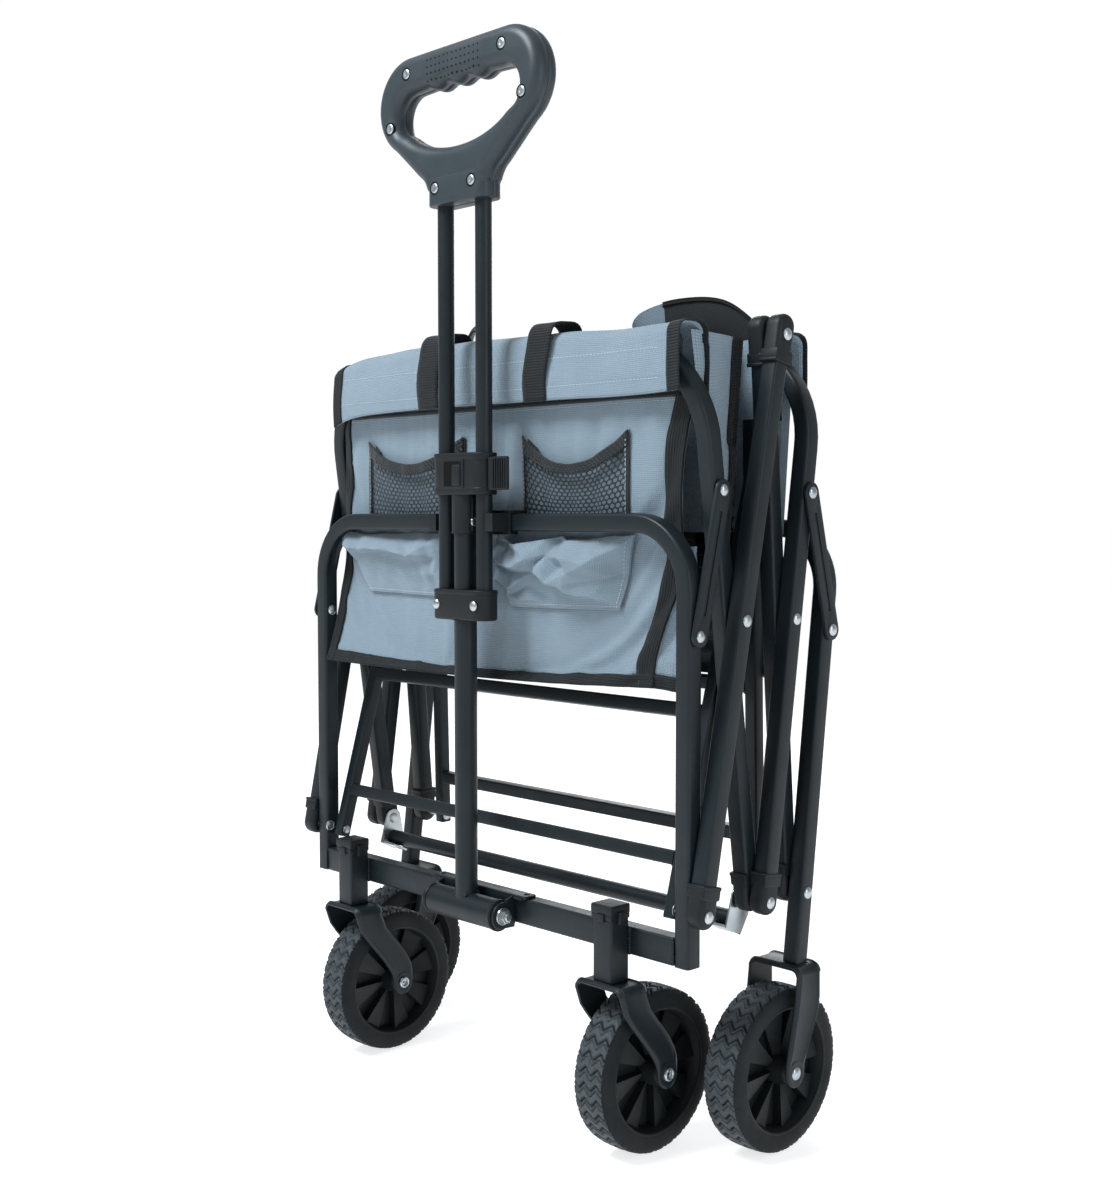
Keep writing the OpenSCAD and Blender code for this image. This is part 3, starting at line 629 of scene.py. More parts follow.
AT_BARREL = shift(0, HY, BARREL_Z)
parts = [lathe(*row[:2], ZINC, AT_BARREL, *row[2:]) for row in (
    ("bolt", [(-55, 0), (-55, 4), (61, 4), (61.8, 3.2), (61.8, 0)]),
    ("washer", [(53.1, 4), (53.1, 8.2), (53.6, 8.6), (54.6, 8.2), (54.8, 4)]),
    ("bolt head", [(-53.1, 0), (-53.1, 6.6), (-57, 6.2), (-58, 5), (-58, 0)], 6, 20),
    ("nut", [(54.6, 3.8), (54.6, 6.6), (59.0, 6.6), (59.7, 5.9), (59.7, 3.9)], 6, 20))]
put(join(parts, "pull bolt"), "front_frame", "pull_bolt")

zt = FRAME_TOP
clip = [(FY - 11.5, zt - 20), (FY - 11.5, zt + 3), (FY + 11.5, zt + 3), (FY + 11.5, zt - 9),
        (FY + 8.55, zt - 9), (FY + 8.55, zt + 0.05), (FY - 8.55, zt + 0.05), (FY - 8.55, zt - 17.05),
        (FY - 0.5, zt - 17.05), (FY - 0.5, zt - 20)]
parts = [yz_plate("saddle", [clip[::-1]], -48, 48, 0.5, PLASTIC)]
for s in (-1, 1):
    jaw = [(s * x, y) for x, y in ((36.2, HY - 7), (47, HY - 7), (47.5, FY - 11), (36.2, FY - 11),
                                   (36.4, HY + 4), (37.4, HY))]
    parts.append(plate("jaw", [jaw[::-s]], 17, 0.9, PLASTIC, shift(0, 0, zt - 8.5)))
piece("handle clip", "front_frame", parts)

FOOT_PIN = [(236.8, 0), (236.8, 2.5), (262, 2.5), (262, 0)]
parts = rivets([(A0, OUT_FACE + 1.6), (A0, -IN_FACE, 2.0), (L1, LINK_X + 4.6), (L1, -IN_FACE, 2.0),
                (F0, -236.8, 1.2, 4.5)], [(A0, IN_FACE, OUT_FACE + 1.6), (L1, IN_FACE, LINK_X + 4.6)])
parts += [lathe("pin", FOOT_PIN, ZINC, stand(F0) @ side) for side in BOTH]
put(join(parts, "front leg rivets"), "front_frame", "front_leg_pins")


# ------------------------------------------------------------------ forks, wheels
def fork_mesh(name, x, axle, top_y, top_z):
    """Pressed fork: one strip bent over the wheel, wide at the crown and round at the axle."""
    ty = top_y - axle.y
    tz = top_z - axle.z
    half, bend, t = 27.5, 7.0, 1.6
    path = [(half, z, 0.0) for z in (-12.6, -11.5, -9, -5, 0, 5, 10, 16, 24, 34, 44, 54, 64, tz - bend)
            if z <= tz - bend]
    for i in range(1, 8):
        a = 90 * i / 7
        path.append((half - bend + bend * cos(radians(a)), tz - bend + bend * sin(radians(a)), a))
    path.append((half * 0.3, tz, 90.0))
    path += [(-px, pz, 180 - a) for px, pz, a in reversed(path)]

    def span_at(z, a):
        """Strip's edges in y at a height and a bend angle."""
        if a not in (0.0, 180.0):
            return ty - 17.5, ty + 17.5
        if z <= -11.5:
            w = 4.0 if z < -12 else 6.3
            return -w, w
        if z < 6:
            w = sqrt(max(13.0 ** 2 - min(z, 0) ** 2, 1))
            return -w, w
        f = min((z - 6) / (tz - 6 - 12), 1.0)
        g = f * f * (3 - 2 * f)
        lo = -13 + (ty - 17 + 13) * (g * 0.45 + f * 0.55)
        hi = 13 + (ty + 16 - 13) * (g * 0.7 + f * 0.3) + 6 * sin(pi * f)
        return lo, hi

    edge = [(0, 1.2), (0.5, 2.6), (1, 3.8), (0.4, 5.4), (0, 7.2)]
    verts = []
    for px, pz, a in path:
        lo, hi = span_at(pz, a)
        ca, sa = cos(radians(a)), sin(radians(a))
        w, c = (hi - lo) / 2, (hi + lo) / 2
        rib = 1.5 if 14 < pz < tz + 1 else 0.6
        prof = [(t + rib * f, -w + d) for f, d in edge] + [(t, 0)]
        prof += [(t + rib * f, w - d) for f, d in edge[::-1]]
        prof += [(0.4, w - 0.2), (-0.4, w - 0.2), (-t, w - 1.2), (-t, 0), (-t, -w + 1.2), (-0.4, -w + 0.2),
                 (0.4, -w + 0.2)]
        verts += [(px + n * ca, c + b, pz + n * sa) for n, b in prof]
    ob = fixed(build(name, verts, tube_faces(len(path), len(prof)), METAL, 50))
    ring = [(25.9, 12.0), (29.4, 11.4), (29.8, 9.6), (29.2, 7.4), (28.6, 5)]
    eye = [lathe("eye", [(s * a, r) for a, r in ring], METAL, n=32) for s in (-1, 1)]
    return moved(join([ob] + eye, name), shift(x, axle.y, axle.z))


def tyre_mesh(name, x, axle):
    """Solid tyre whose tread is cut into staggered diamond blocks by zigzag grooves."""
    steps, half, first, last, pitches = 544, 19.0, 5, 31, 34
    wall = [(half - 0.4, 57.5), (half, 59), (half, 66), (half - 0.5, 69.8), (half - 1.8, 72.0)]
    cross = [(-px, r) for px, r in wall]
    for j in range(last - first + 1):
        u = -1 + 2 * j / (last - first)
        cross.append((u * 16.4, 74.6 - 1.2 * abs(u) ** 3))
    cross += wall[::-1]
    rows = len(cross)
    verts, raised = [], []
    for i in range(steps):
        a = 2 * pi * i / steps
        for j, (px, r) in enumerate(cross):
            block_height = 0.0
            if first <= j <= last:
                zig = 0.26 * (4 * abs((px / 14.0 + 0.25) % 1.0 - 0.5) - 1)
                f = (i * pitches / steps + zig) % 1.0
                g = min(1.0, max(0.0, 1.5 - min(f, 1 - f) / 0.085))
                g = max(g, 0.75 * min(1.0, max(0.0, 1.3 - abs(f - 0.34) / 0.05)))
                r = r + 0.4 - 2.4 * g
                block_height = 1.0 - g
            verts.append((px, r * cos(a), r * sin(a)))
            raised.append(block_height)
    ids = [1 if first <= j < last else 0 for j in range(rows - 1)] * steps
    ob = build(name, verts, turned_faces(steps, rows), [RUBBER, TREAD], 60, ids)
    # the tread attribute is 1 on block tops and 0 in the grooves; the tread material paints the tops lighter
    # and leaves the grooves dark as shade
    ob.data.attributes.new("tread", "FLOAT", "POINT").data.foreach_set("value", raised)
    return moved(fixed(ob), shift(x, axle.y, axle.z))


def hub_mesh(name, x, axle):
    """Dished hub: rim lip, fan of eight twisted wedge spokes each side and a boss."""
    parts = []
    rim = [(18.6, 58.2), (18.9, 57.2), (18.2, 55.8), (15.5, 55.0), (12.5, 53.4), (3.0, 52.6)]
    boss = [(3, 15), (14, 13), (21, 12), (24.6, 11.6), (25.6, 10.6), (25.6, 5), (24.0, 4.4)]
    hi, lo, r0, r1, rows = 13.2, 3.0, 11.0, 53.6, 8
    for s in (-1, 1):
        for label, prof, n in (("rim", rim, 72), ("boss", boss, 40)):
            parts.append(lathe(label, [(a * s, r) for a, r in prof], PLASTIC, n=n))
        for k in range(8):
            a0 = radians(45 * k + (0 if s > 0 else 22.5))
            a1 = a0 + radians(25)
            vs = []
            for q in range(rows + 1):
                rr, dish = r0 + (r1 - r0) * q / rows, 1 - q / rows
                for ang, xx in ((a0, hi - 2.5 * dish), (a0 + 0.012, hi - 0.2 - 2.5 * dish),
                                (a1, hi - 4.5 - 2.0 * dish), (a1 + 0.004, lo), (a0 - 0.004, lo)):
                    vs.append((s * xx, rr * cos(ang), rr * sin(ang)))
            parts.append(fixed(build("spoke", vs, tube_faces(rows + 1, 5), PLASTIC, 30)))
    parts.append(lathe("web", [(3.0, 12), (3.0, 54.5), (-3.0, 54.5), (-3.0, 12)], PLASTIC, n=72))
    return moved(join(parts, name), shift(x, axle.y, axle.z))


def axle_mesh(x, axle, hollow):
    m = shift(x, axle.y, axle.z)
    parts = [lathe("axle", [(-29, 0), (-29, 4), (29, 4), (29, 0)], ZINC, m)]
    return join(parts + [head(29.0, 2.8, 6.2, m @ side, hollow) for side in BOTH], "axle")


for s, side in ((-1, "left"), (1, "right")):
    fork = fork_mesh("front fork " + side, s * CASTER_X, F_AXLE, POST_Y, 162.0)
    boss = lathe("stem", [(0, 0), (0, 8), (3, 8), (3, 6), (55, 6), (55, 0)], METAL, n=24)
    moved(boss, shift(s * CASTER_X, POST_Y, 160.5) @ turn(-90, "Y"))
    put(join([fork, boss], "front fork " + side), "caster_" + side, "front_fork_" + side)
    put(axle_mesh(s * CASTER_X, F_AXLE, True), "caster_" + side, "front_axle_" + side)
    for e, px, ax in (("front", CASTER_X, F_AXLE), ("rear", REAR_X, R_AXLE)):
        put(tyre_mesh(f"{e} tyre {side}", s * px, ax), f"{e}_wheel_{side}", f"{e}_tyre_{side}")
        put(hub_mesh(f"{e} hub {side}", s * px, ax), f"{e}_wheel_{side}", f"{e}_hub_{side}")

crown_y = D0.y - (D0.z - 164) * tan(radians(REAR_LEG_LEAN))
parts = []
for s in (-1, 1):
    parts.append(fork_mesh("rear fork", s * REAR_X, R_AXLE, crown_y, 168.0))
    parts.append(weld((s * 281 - 9, crown_y - 9, 168.4), (1, 0, 0), 18, 1.8, 8))
    parts.append(weld((s * 281 + 9 * s, crown_y - 8, 168.4), (0, 1, 0), 16, 1.8, 8))
put(join(parts, "rear forks"), "rear_frame", "rear_forks")
put(join([axle_mesh(s * REAR_X, R_AXLE, False) for s in (-1, 1)], "rear axles"), "rear_frame", "rear_axles")


# ------------------------------------------------------------------ side linkage
def cap_pair(x0, x1, m, over=0.0):
    """Soft-edged plastic end caps in the YZ plane about a pivot on both sides, their skirts toward +Z."""
    skirt = 26.0
    out = [(11.2, skirt)] + arc(0, -over, 11.5, 0, -180, 18) + [(-11.2, skirt)]
    ob = yz_plate("cap", [out[::-1]], x0, x1, 5.5, PLASTIC, 4)
    rim, band = rrect(-11.9, 11.9, skirt - 3.2, skirt + 0.2, 1.2), rrect(-11.35, 11.35, 14, skirt - 2, 2)
    lip = yz_plate("lip", [rim], x0 - 0.2, x1 + 0.5, 1.0, PLASTIC)
    step = yz_plate("step", [band], x0 + 0.2, x1 + 0.35, 1.2, PLASTIC)
    return sided(moved(join([ob, lip, step], "cap"), m))


piece("lift bars", "lift_bars", sided(bar("lift bar", OUT_X, -6, 516, TUBE, stand(A0, LIFT_LEAN))))
piece("lift bar caps", "lift_bars",
      cap_pair(OUT_FACE - TUBE - 0.1, OUT_FACE + 1.5, stand(A0, LIFT_LEAN))
      + cap_pair(OUT_FACE - TUBE - 0.1, OUT_FACE + 1.5, stand(T, LIFT_LEAN) @ FLIPZ, 7))
piece("top rivets", "lift_bars", rivets([(T, OUT_FACE + 1.6), (T, -IN_FACE + 1.6, 2.0), (M1, OUT_FACE)]))

piece("rear lift bars", "rear_lift_bars",
      sided(bar("rear lift bar", IN_X, -6, 510, TUBE, stand(D0, REAR_BAR_LEAN))))
piece("rear lift bar caps", "rear_lift_bars",
      cap_pair(IN_FACE - 1, IN_FACE + TUBE, stand(D0, REAR_BAR_LEAN))
      + cap_pair(IN_FACE - 1.4, IN_FACE + TUBE, stand(T, REAR_BAR_LEAN) @ FLIPZ, 7), "rear_lift_caps")
piece("rear crossing heads", "rear_lift_bars", rivets([(M2, -IN_FACE, 2.0)]), "rear_bar_rivets")

piece("front hoop", "front_hoop", [u_tube("front hoop", IN_X, -6, 502, 92, stand(S, HOOP_LEAN), 3.2)])
piece("front hoop ends", "front_hoop", cap_pair(IN_X - 8.8, IN_X + 8.8, stand(S, HOOP_LEAN)))
put(join(rivets([(S, -IN_FACE + 3.2, 1.4), (M1, -IN_FACE, 2.0)], [(S, IN_FACE - 3.2, IN_FACE + 17)]),
         "front hoop rivets"), "front_hoop", "front_hoop_rivets")

piece("rear hoop", "rear_hoop", [u_tube("rear hoop", OUT_X, -6, C_HALF + 247, 92, stand(S, C_LEAN), 3.2)])
piece("rear hoop ends", "rear_hoop", cap_pair(OUT_X - 8.8, OUT_X + 8.9, stand(S, C_LEAN)))
put(join(rivets([(S, OUT_FACE), (M2, OUT_FACE), (LC, OUT_FACE + 4.2)], [(LC, OUT_FACE - 4, OUT_FACE + 4.2)]),
         "rear hoop rivets"), "rear_hoop", "rear_hoop_rivets")


def link_pair(p, q, x0, x1):
    """Flat links with a long stamped groove, on both sides."""
    d = q - p
    L = d.length
    out = arc(0, 0, 9.5, 180, 360, 14) + arc(0, L, 9.5, 0, 180, 14)
    groove = arc(0, 20, 1.9, 180, 360, 8) + arc(0, L - 20, 1.9, 0, 180, 8)
    mid = x0 + (x1 - x0) * 0.55
    back = yz_plate("link back", [out], x0, mid + 0.3, 0.4, METAL)
    face = yz_plate("link face", [out, groove], mid, x1, 0.55, METAL)
    return sided(moved(join([back, face], "link"), stand(p, lean(d))))


piece("front links", "front_links", link_pair(L1, LB, LINK_X + 1.5, LINK_X + 4.5))
put(join(rivets([(LB, LINK_X + 4.6), (LB, -IN_FACE + 0.1, 2.0)], [(LB, IN_FACE + 16, LINK_X + 4.6)]),
         "front link rivets"), "front_links", "front_link_pins")
piece("rear links", "rear_links", link_pair(L2, LC, OUT_FACE + 1, OUT_FACE + 4))

leg_foot = 168 - D0.z + 1
leg_top = FRAME_TOP - 236.2 - TUBE / 2
piece("rear frame", "rear_frame",
      [u_tube("rear frame", OUT_X, leg_foot, leg_top, 60, stand(D0, REAR_LEG_LEAN))])
put(join(rivets([(D0, OUT_FACE), (L2, OUT_FACE + 4.2), (D0, -222.5, 1.5)],
                [(D0, 222.5, OUT_FACE - 17), (L2, OUT_FACE - 4, OUT_FACE + 4.2)]), "rear leg rivets"),
    "rear_frame", "rear_leg_pins")


# ------------------------------------------------------------------ floor frames and centre brace
def floor_half(name, p, a, x, length, cross):
    """Two side bars with welded cross bars."""
    parts = [bar("side", s * x, -8, length, 13, None, 2.0) for s in (-1, 1)]
    for z in cross:
        ends = [(Vector((e * (x - 6.3), 0, 0)), Vector((0, 0, 1))) for e in (-1, 0, 1)]
        parts.append(sweep("cross", ends, lambda i: rounded_square(13, 2.0), METAL, shift(0, 0, z)))
        for s in (-1, 1):
            parts.append(weld((s * (x - 7), -5.5, z - 6.4), (0, 1, 0), 11, 1.2, 6))
    return moved(join(parts, name), stand(p, a))


put(floor_half("front floor frame", F0, FLOOR_LEAN, 243.3, FLOOR_LEN, [44, 175, 300]), "floor_front",
    "floor_frame_front")
put(floor_half("rear floor frame", D0, R_LEAN, 229, R_LEN, [44, 185, 300]), "floor_rear", "floor_frame_rear")

x0 = IN_FACE - 2.8
out = arc(0, 0, 10, 10, 170, 10) + [(-18, -26), (2, -36), (14, -18)]
lip = [(1, -35), (2, -33), (-16, -24), (-17, -26)]
bracket = [yz_plate("bracket plate", [out], x0, x0 + 2, 0.5, ZINC),
           yz_plate("bracket lip", [lip], x0 - 22, x0 + 1, 0.3, ZINC)]
piece("centre brackets", "centre_brace", sided(moved(join(bracket, "bracket"), stand(S))))
put(lathe("centre tube", [(-IN_FACE + 3, 0), (-IN_FACE + 3, 8), (IN_FACE - 3, 8), (IN_FACE - 3, 0)],
          METAL, stand(S) @ shift(0, 0, -22), 36), "centre_brace", "centre_tube")

# ------------------------------------------------------------------ handle
UPRIGHT = turn(-90, "Y")


def tube_z(name, x, z0, z1, r, mat):
    """Closed round tube of the handle, upright."""
    prof = [(0, 0), (0, r - 0.6), (0.5, r), (z1 - z0 - 0.5, r), (z1 - z0, r - 0.6), (z1 - z0, 0)]
    return lathe(name, prof, mat, shift(x, HY, z0) @ UPRIGHT, 36, 50)


parts = [tube_z("pull tube", 0, BARREL_Z + 8, 616.9, 11, METAL),
         lathe("barrel", [(-46, 12), (-46, 14.1), (-45.5, 14.6), (45.5, 14.6), (46, 14.1), (46, 12)], METAL,
               AT_BARREL, 48),
         weld((-9, HY - 8, 210.5), (1, 0, 0), 18, 1.7, 9), weld((-9, HY + 8, 210.5), (1, 0, 0), 18, 1.7, 9)]
put(join(parts, "pull tube"), "handle", "pull_tube")
BUSH = [(30, 12), (46, 12), (46, 15.0), (46.5, 15.4), (48.8, 15.4), (49.2, 14.9), (49.2, 4.1), (30, 4.1)]
piece("barrel bushes", "handle", [lathe("bush", BUSH, PLASTIC, AT_BARREL @ side, 40) for side in BOTH])


def obround_block(name, w, d, z0, z1, bevel, holes):
    """Block with half-round ends across the handle."""
    outline = arc(w / 2 - d / 2, 0, d / 2, -90, 90, 14) + arc(-w / 2 + d / 2, 0, d / 2, 90, 270, 14)
    return plate(name, [outline] + holes, z1 - z0, bevel, PLASTIC, shift(0, HY, (z0 + z1) / 2), 3)


rod_holes = [circle(s * ROD_X, 0, 8.2, 24) for s in (-1, 1)]
tube_hole = [circle(0, 0, 11.7, 28)]
piece("rod clamp", "handle", [
    obround_block("clamp base", 78, 28, 597, 604, 1.4, rod_holes),
    obround_block("clamp waist", 76.4, 26.6, 603, 631, 0.8, rod_holes),
    obround_block("clamp top", 78, 28, 630, 637, 1.4, rod_holes),
    block("window frame", -18, 13.5, HY - 14.6, HY - 8, 602, 632, 1.0, PLASTIC),
    # the window is a dark block painted as the shade inside the clamp's opening
    block("window", -15, 10.5, HY - 15.0, HY - 11, 605, 629, 0.8, RECESS_SHADE),
    block("latch", -2.4, 9.6, HY - 15.9, HY - 11, 605.5, 626, 1.7, PLASTIC),
    tube_z("collar", 0, 560, 599, 13, PLASTIC), tube_z("collar rim", 0, 559.8, 562.5, 13.4, PLASTIC),
    block("collar rib", 11, 14, HY - 3.2, HY + 3.2, 562, 596, 0.8, PLASTIC)])
put(head(13.4, 2.0, 4.6, shift(0, HY, 571)), "handle", "clamp_screw")
parts = [block("tab", 38.8, 47, HY - 6, HY + 6, 601, 632, 1.6, PLASTIC),
         block("thumb plate", 44, 66, HY - 5.8, HY - 2, 601, 632.5, 1.6, PLASTIC)]
for k in range(6):
    x = 46 + k * 3.2
    parts.append(block("rib", x, x + 1.7, HY - 7.0, HY - 4, 602.5, 631, 0.6, PLASTIC))
piece("clamp button", "clamp_button", parts)

rods = [tube_z("rod", s * ROD_X, 483, GZ + 22, 8, METAL) for s in (-1, 1)]
piece("sliding tubes", "handle_rods", rods, "slide_rods")
piece("rod carrier", "handle_rods", [
    obround_block("carrier", 78, 28, 477, 506, 2.2, tube_hole),
    obround_block("carrier rim", 78.8, 28.8, 501.5, 506.2, 1.2, tube_hole + rod_holes)])
FRONT = turn(-90, "Z")
parts = [head(0, 2.4, 5.0, shift(s * ROD_X, HY - 14.1, 491.5) @ FRONT) for s in (-1, 1)]
piece("carrier rivets", "handle_rods", parts)


def grip_outline(*runs):
    """Closed outline from runs of points of its +X half, mirrored, its corners cut twice."""
    pts = [p for r in runs for p in r]
    pts += [(-x, z) for x, z in pts[-2:0:-1]]
    for _ in range(2):
        nxt = []
        for k, (x, y) in enumerate(pts):
            x2, y2 = pts[(k + 1) % len(pts)]
            nxt += [(x * (1 - q) + x2 * q, y * (1 - q) + y2 * q) for q in (0.25, 0.75)]
        pts = nxt
    return pts


outer = grip_outline([(0, 3)], arc(29, 15.5, 12.5, -90, -8, 8), arc(66, 10, 23, 164, 118, 8),
                     arc(70, 103, 47, -62, 90, 26), [(0, 150)])
finger_side = [(88 * sin(radians(t)), 100 - 46 * cos(radians(t))) for t in range(0, 56, 5)]
palm_side = [(x, 113 - 2 * cos(radians(12 * x))) for x in range(46, -1, -2)]
inner = grip_outline(finger_side, arc(67, 93, 21, -46, 90, 16), palm_side)
AT_GRIP = shift(0, HY, GZ) @ TO_XZ
AT_NECK = shift(0, HY, GZ + 13)
grip = plate("grip", [outer, inner], 30, 10.8, GRIP, AT_GRIP, 7, 60)
neck = plate("neck", [rrect(-41.6, 41.6, -15.1, 15.1, 11.5, 8)], 26, 1.2, GRIP, AT_NECK, 3, 60)
grip = join([fixed(grip), fixed(neck)], "grip")
SKIN = BVHTree.FromPolygons([v.co.copy() for v in grip.data.vertices],
                            [tuple(p.vertices) for p in grip.data.polygons])


def on_grip(x, z):
    """Matrix at a place on the grip's front face, local X pointing out of it."""
    hit, n, _, _ = SKIN.ray_cast(Vector((x, HY - 40, GZ + z)) * 0.001, Vector((0, 1, 0)))
    n = (n + Vector((0, -1, 0))).normalized()
    return Matrix.Translation(hit * 1000) @ n.to_track_quat("X", "Z").to_matrix().to_4x4()


def cut(y, toward=1, clear=False):
    """Step that cuts a mesh across Y, and may drop what lies beyond."""
    return lambda bm: bmesh.ops.bisect_plane(
        bm, geom=bm.verts[:] + bm.edges[:] + bm.faces[:], clear_outer=clear, plane_co=(0, y * 0.001, 0),
        plane_no=(0, toward, 0))


def groove_middle(bm):
    """Press in the ring of points on the split line between the grip's halves."""
    bm.normal_update()
    for v in bm.verts:
        if abs(v.co.y - HY * 0.001) < 1e-6:
            v.co -= v.normal * 0.0007


edit(grip.data, cut(HY - 0.35), cut(HY), cut(HY + 0.35), groove_middle)
back = grip.copy()
back.data = grip.data.copy()
bpy.context.collection.objects.link(back)
for ob, toward, name in ((grip, 1, "grip_front"), (back, -1, "grip_rear")):
    edit(ob.data, cut(HY, toward, True))
    ob.name = name
    put(ob, "handle_rods", name)
# dark discs painted as the shade inside the screw bores, with the screws set on them
RECESS_SHADE_RING = [(-1.6, 6.5), (0.1, 6.4), (0.35, 6.0), (0.1, 5.6), (0.1, 0)]
SCREW = [(0.0, 4.9), (0.5, 4.8), (1.0, 4.2), (1.3, 2.6), (1.0, 1.6), (0.6, 0.0)]
shade_discs, screws = [], []
for x, z in ((69, 132), (95.5, 84), (26.5, 16)):
    for k in (-1, 1):
        m = on_grip(k * x, z)
        shade_discs.append(lathe("bore", RECESS_SHADE_RING, RECESS_SHADE, m, 32, 60))
        screws.append(lathe("screw", SCREW, ZINC, m @ shift(0.1, 0.8, 0), 24, 60))
# each dimple is a dark disc painted as shade, not a hollow
for k in range(13):
    for j in range(4):
        shade_discs.append(lathe("dimple", [(-0.5, 1.25 - 0.1 * j), (0.06, 1.2 - 0.1 * j), (0.06, 0)], RECESS_SHADE,
                           on_grip(-37 + 6.15 * k, 119.5 + 6.4 * j), 12, 60))
put(join([fixed(o) for o in shade_discs], "grip bores"), "handle_rods")
put(join(screws, "grip screws"), "handle_rods", "grip_screws")


# ------------------------------------------------------------------ cloth
FACED = [CLOTH, LINING]        # materials of a sheet of the grey cloth


def grid(name, nu, nv, f, mats, thick=0.0, dark_from=None):
    """Sheet from f(u, v) in mm, u and v from 0 to 1, with UV in mm; past dark_from in u it is black."""
    rows = [[Vector(f(i / nu, j / nv)) for j in range(nv + 1)] for i in range(nu + 1)]
    us, vs = [0.0], [0.0]
    mid_j, mid_i = nv // 2, nu // 2
    for i in range(nu):
        us.append(us[-1] + (rows[i + 1][mid_j] - rows[i][mid_j]).length)
    for j in range(nv):
        vs.append(vs[-1] + (rows[mid_i][j + 1] - rows[mid_i][j]).length)
    verts = [p for r in rows for p in r]
    uv = [(us[i], vs[j]) for i in range(nu + 1) for j in range(nv + 1)]
    faces, ids = [], []
    for i in range(nu):
        for j in range(nv):
            a = i * (nv + 1) + j
            faces.append((a, a + nv + 1, a + nv + 2, a + 1))
            ids.append(1 if dark_from and i / nu > dark_from else 0)
    ob = build(name, verts, faces, mats, 180.0, ids, uv)
    if thick:
        md = ob.modifiers.new("thick", "SOLIDIFY")
        md.thickness = thick * 0.001
        md.offset = 0
        apply_mods(ob)
        ob.data.polygons.foreach_set("use_smooth", [True] * len(ob.data.polygons))
    return ob


def wave(*at):
    """Smooth noise at a place."""
    return noise.noise(Vector(at))


def wrinkle(x, z, amp, seed, scale):
    broad = wave(x / scale + seed, z / scale * 0.7, seed)
    fine = wave(x / (scale * 0.35) + seed, z / (scale * 0.6), seed + 5)
    return amp * (broad + 0.35 * fine)


def stitch_line(pts, off, pitch=4.0, length=2.6, w=0.28):
    """Row of small stitches along a polyline; off is the outward vector."""
    verts, faces = [], []
    total = 0.0
    marks = []
    for a, b in zip(pts, pts[1:]):
        a, b = Vector(a), Vector(b)
        L = (b - a).length
        while total <= L:
            marks.append((a + (b - a) * (total / L), (b - a).normalized()))
            total += pitch
        total -= L
    o = Vector(off).normalized()
    for c, d in marks:
        side = d.cross(o).normalized() * w
        base = len(verts)
        for t, h in ((-0.5, 0.05), (-0.3, 0.55), (0.3, 0.55), (0.5, 0.05)):
            q = c + d * (length * t) + o * h
            verts += [q - side, q + side]
        for k in range(3):
            faces.append((base + 2 * k, base + 2 * k + 1, base + 2 * k + 3, base + 2 * k + 2))
    return build("stitches", verts, faces, THREAD, 180)


HEM_TOP = 744.5


def hem_section(t, y0, y1, z0, z1):
    """Point (y, z) on the hem's inverted U: t 0 = front flap's bottom, 1 = rear flap's bottom."""
    front_len, top_len, rear_len = HEM_TOP - z0 - 12, (y1 - y0) * 1.45, HEM_TOP - z1 - 12
    d = t * (front_len + top_len + rear_len)
    if d < front_len:
        return y0 - 1.5 * sin(pi * d / front_len), z0 + d
    if d < front_len + top_len:
        a = pi * (1 - (d - front_len) / top_len)
        return (y0 + y1) / 2 + (y1 - y0) / 2 * cos(a), HEM_TOP - 12 + 12 * max(sin(a), 0) ** 0.8
    return y1, HEM_TOP - 12 - (d - front_len - top_len)


def hem(name, half, reach, y0, y1, z_front, z_rear, seed, sgn):
    """Sleeve of cloth over a hoop's top bar, with bound ends, stitch lines and two webbing loops."""
    around, mid_y = 46, (y0 + y1) / 2

    def at(x, v, grow=0.0):
        """Place at x on the sleeve, v around it."""
        y, z = hem_section(v, y0, y1, z_front, z_rear)
        end = abs(x) / half
        xx = x + reach * max(0.0, x / half) ** 3
        if y > mid_y:
            y += 9 * end ** 8
        z += 3.5 * sin(xx / 120 + seed) * (0.4 if z < 700 else 1)
        droop = -9.0 if xx < 0 else 2.7
        z += droop * end ** 10 + 1.6 * wave(xx / 70, seed, 0) * (1 if z > 700 else 0.4)
        outward_y = 1 if y > mid_y else -1
        y += wrinkle(xx, z, 3.2, seed, 48) * (0.5 + 0.5 * sin(v * pi))
        y += outward_y * grow * (0 if 0.4 < v < 0.6 else 1)
        if z > HEM_TOP - 13:
            z += grow
        return Vector((xx, y, z))

    sleeve = grid(name, 110, around, lambda u, v: at(-half + 2 * half * u, v), FACED, 1.0)
    extra = [grid("bound end", 6, around, lambda u, v: at(s * (half - 9 + 13 * u), v, 1.1), WEBBING, 1.2)
             for s in (-1, 1)]
    for c in (-78, 78):
        def loop(u, v):
            x, y, z = at(15.0 * (2 * u - 1) + c, v, 1.6)
            rise = max(0.0, sin(pi * min(max((v - 0.06) / 0.88, 0), 1)))
            y += (1 if y > mid_y else -1) * 5.0 * rise
            return x + 15.0 * rise ** 1.6 - 5.0, y, z + 9.0 * rise ** 2
        extra.append(grid("webbing loop", 6, around, loop, WEBBING, 1.4))
    foot, flap = (z_front, range(0, 24)) if sgn < 0 else (z_rear, range(24, 47))
    for h in (39, 13):
        pts = []
        for i in range(111):
            x = -half + 13 + (2 * half - 26) * i / 110
            near = min((at(x, q / around) for q in flap), key=lambda p: abs(p.z - foot - h))
            pts.append((x, near.y + sgn * 0.55, foot + h))
        extra.append(stitch_line(pts, (0, sgn, 0), 4.2))
    return sleeve, extra


front_hem, hem_extra = hem("front hem", 240, 9, B_TOP.y - 13.5, B_TOP.y + 12.5, 683, 662, 2.0, -1)
rear_hem, rear_extra = hem("rear hem", 250, 0, C_TOP.y - 12.5, C_TOP.y + 13.5, 662, 680, 9.0, 1)


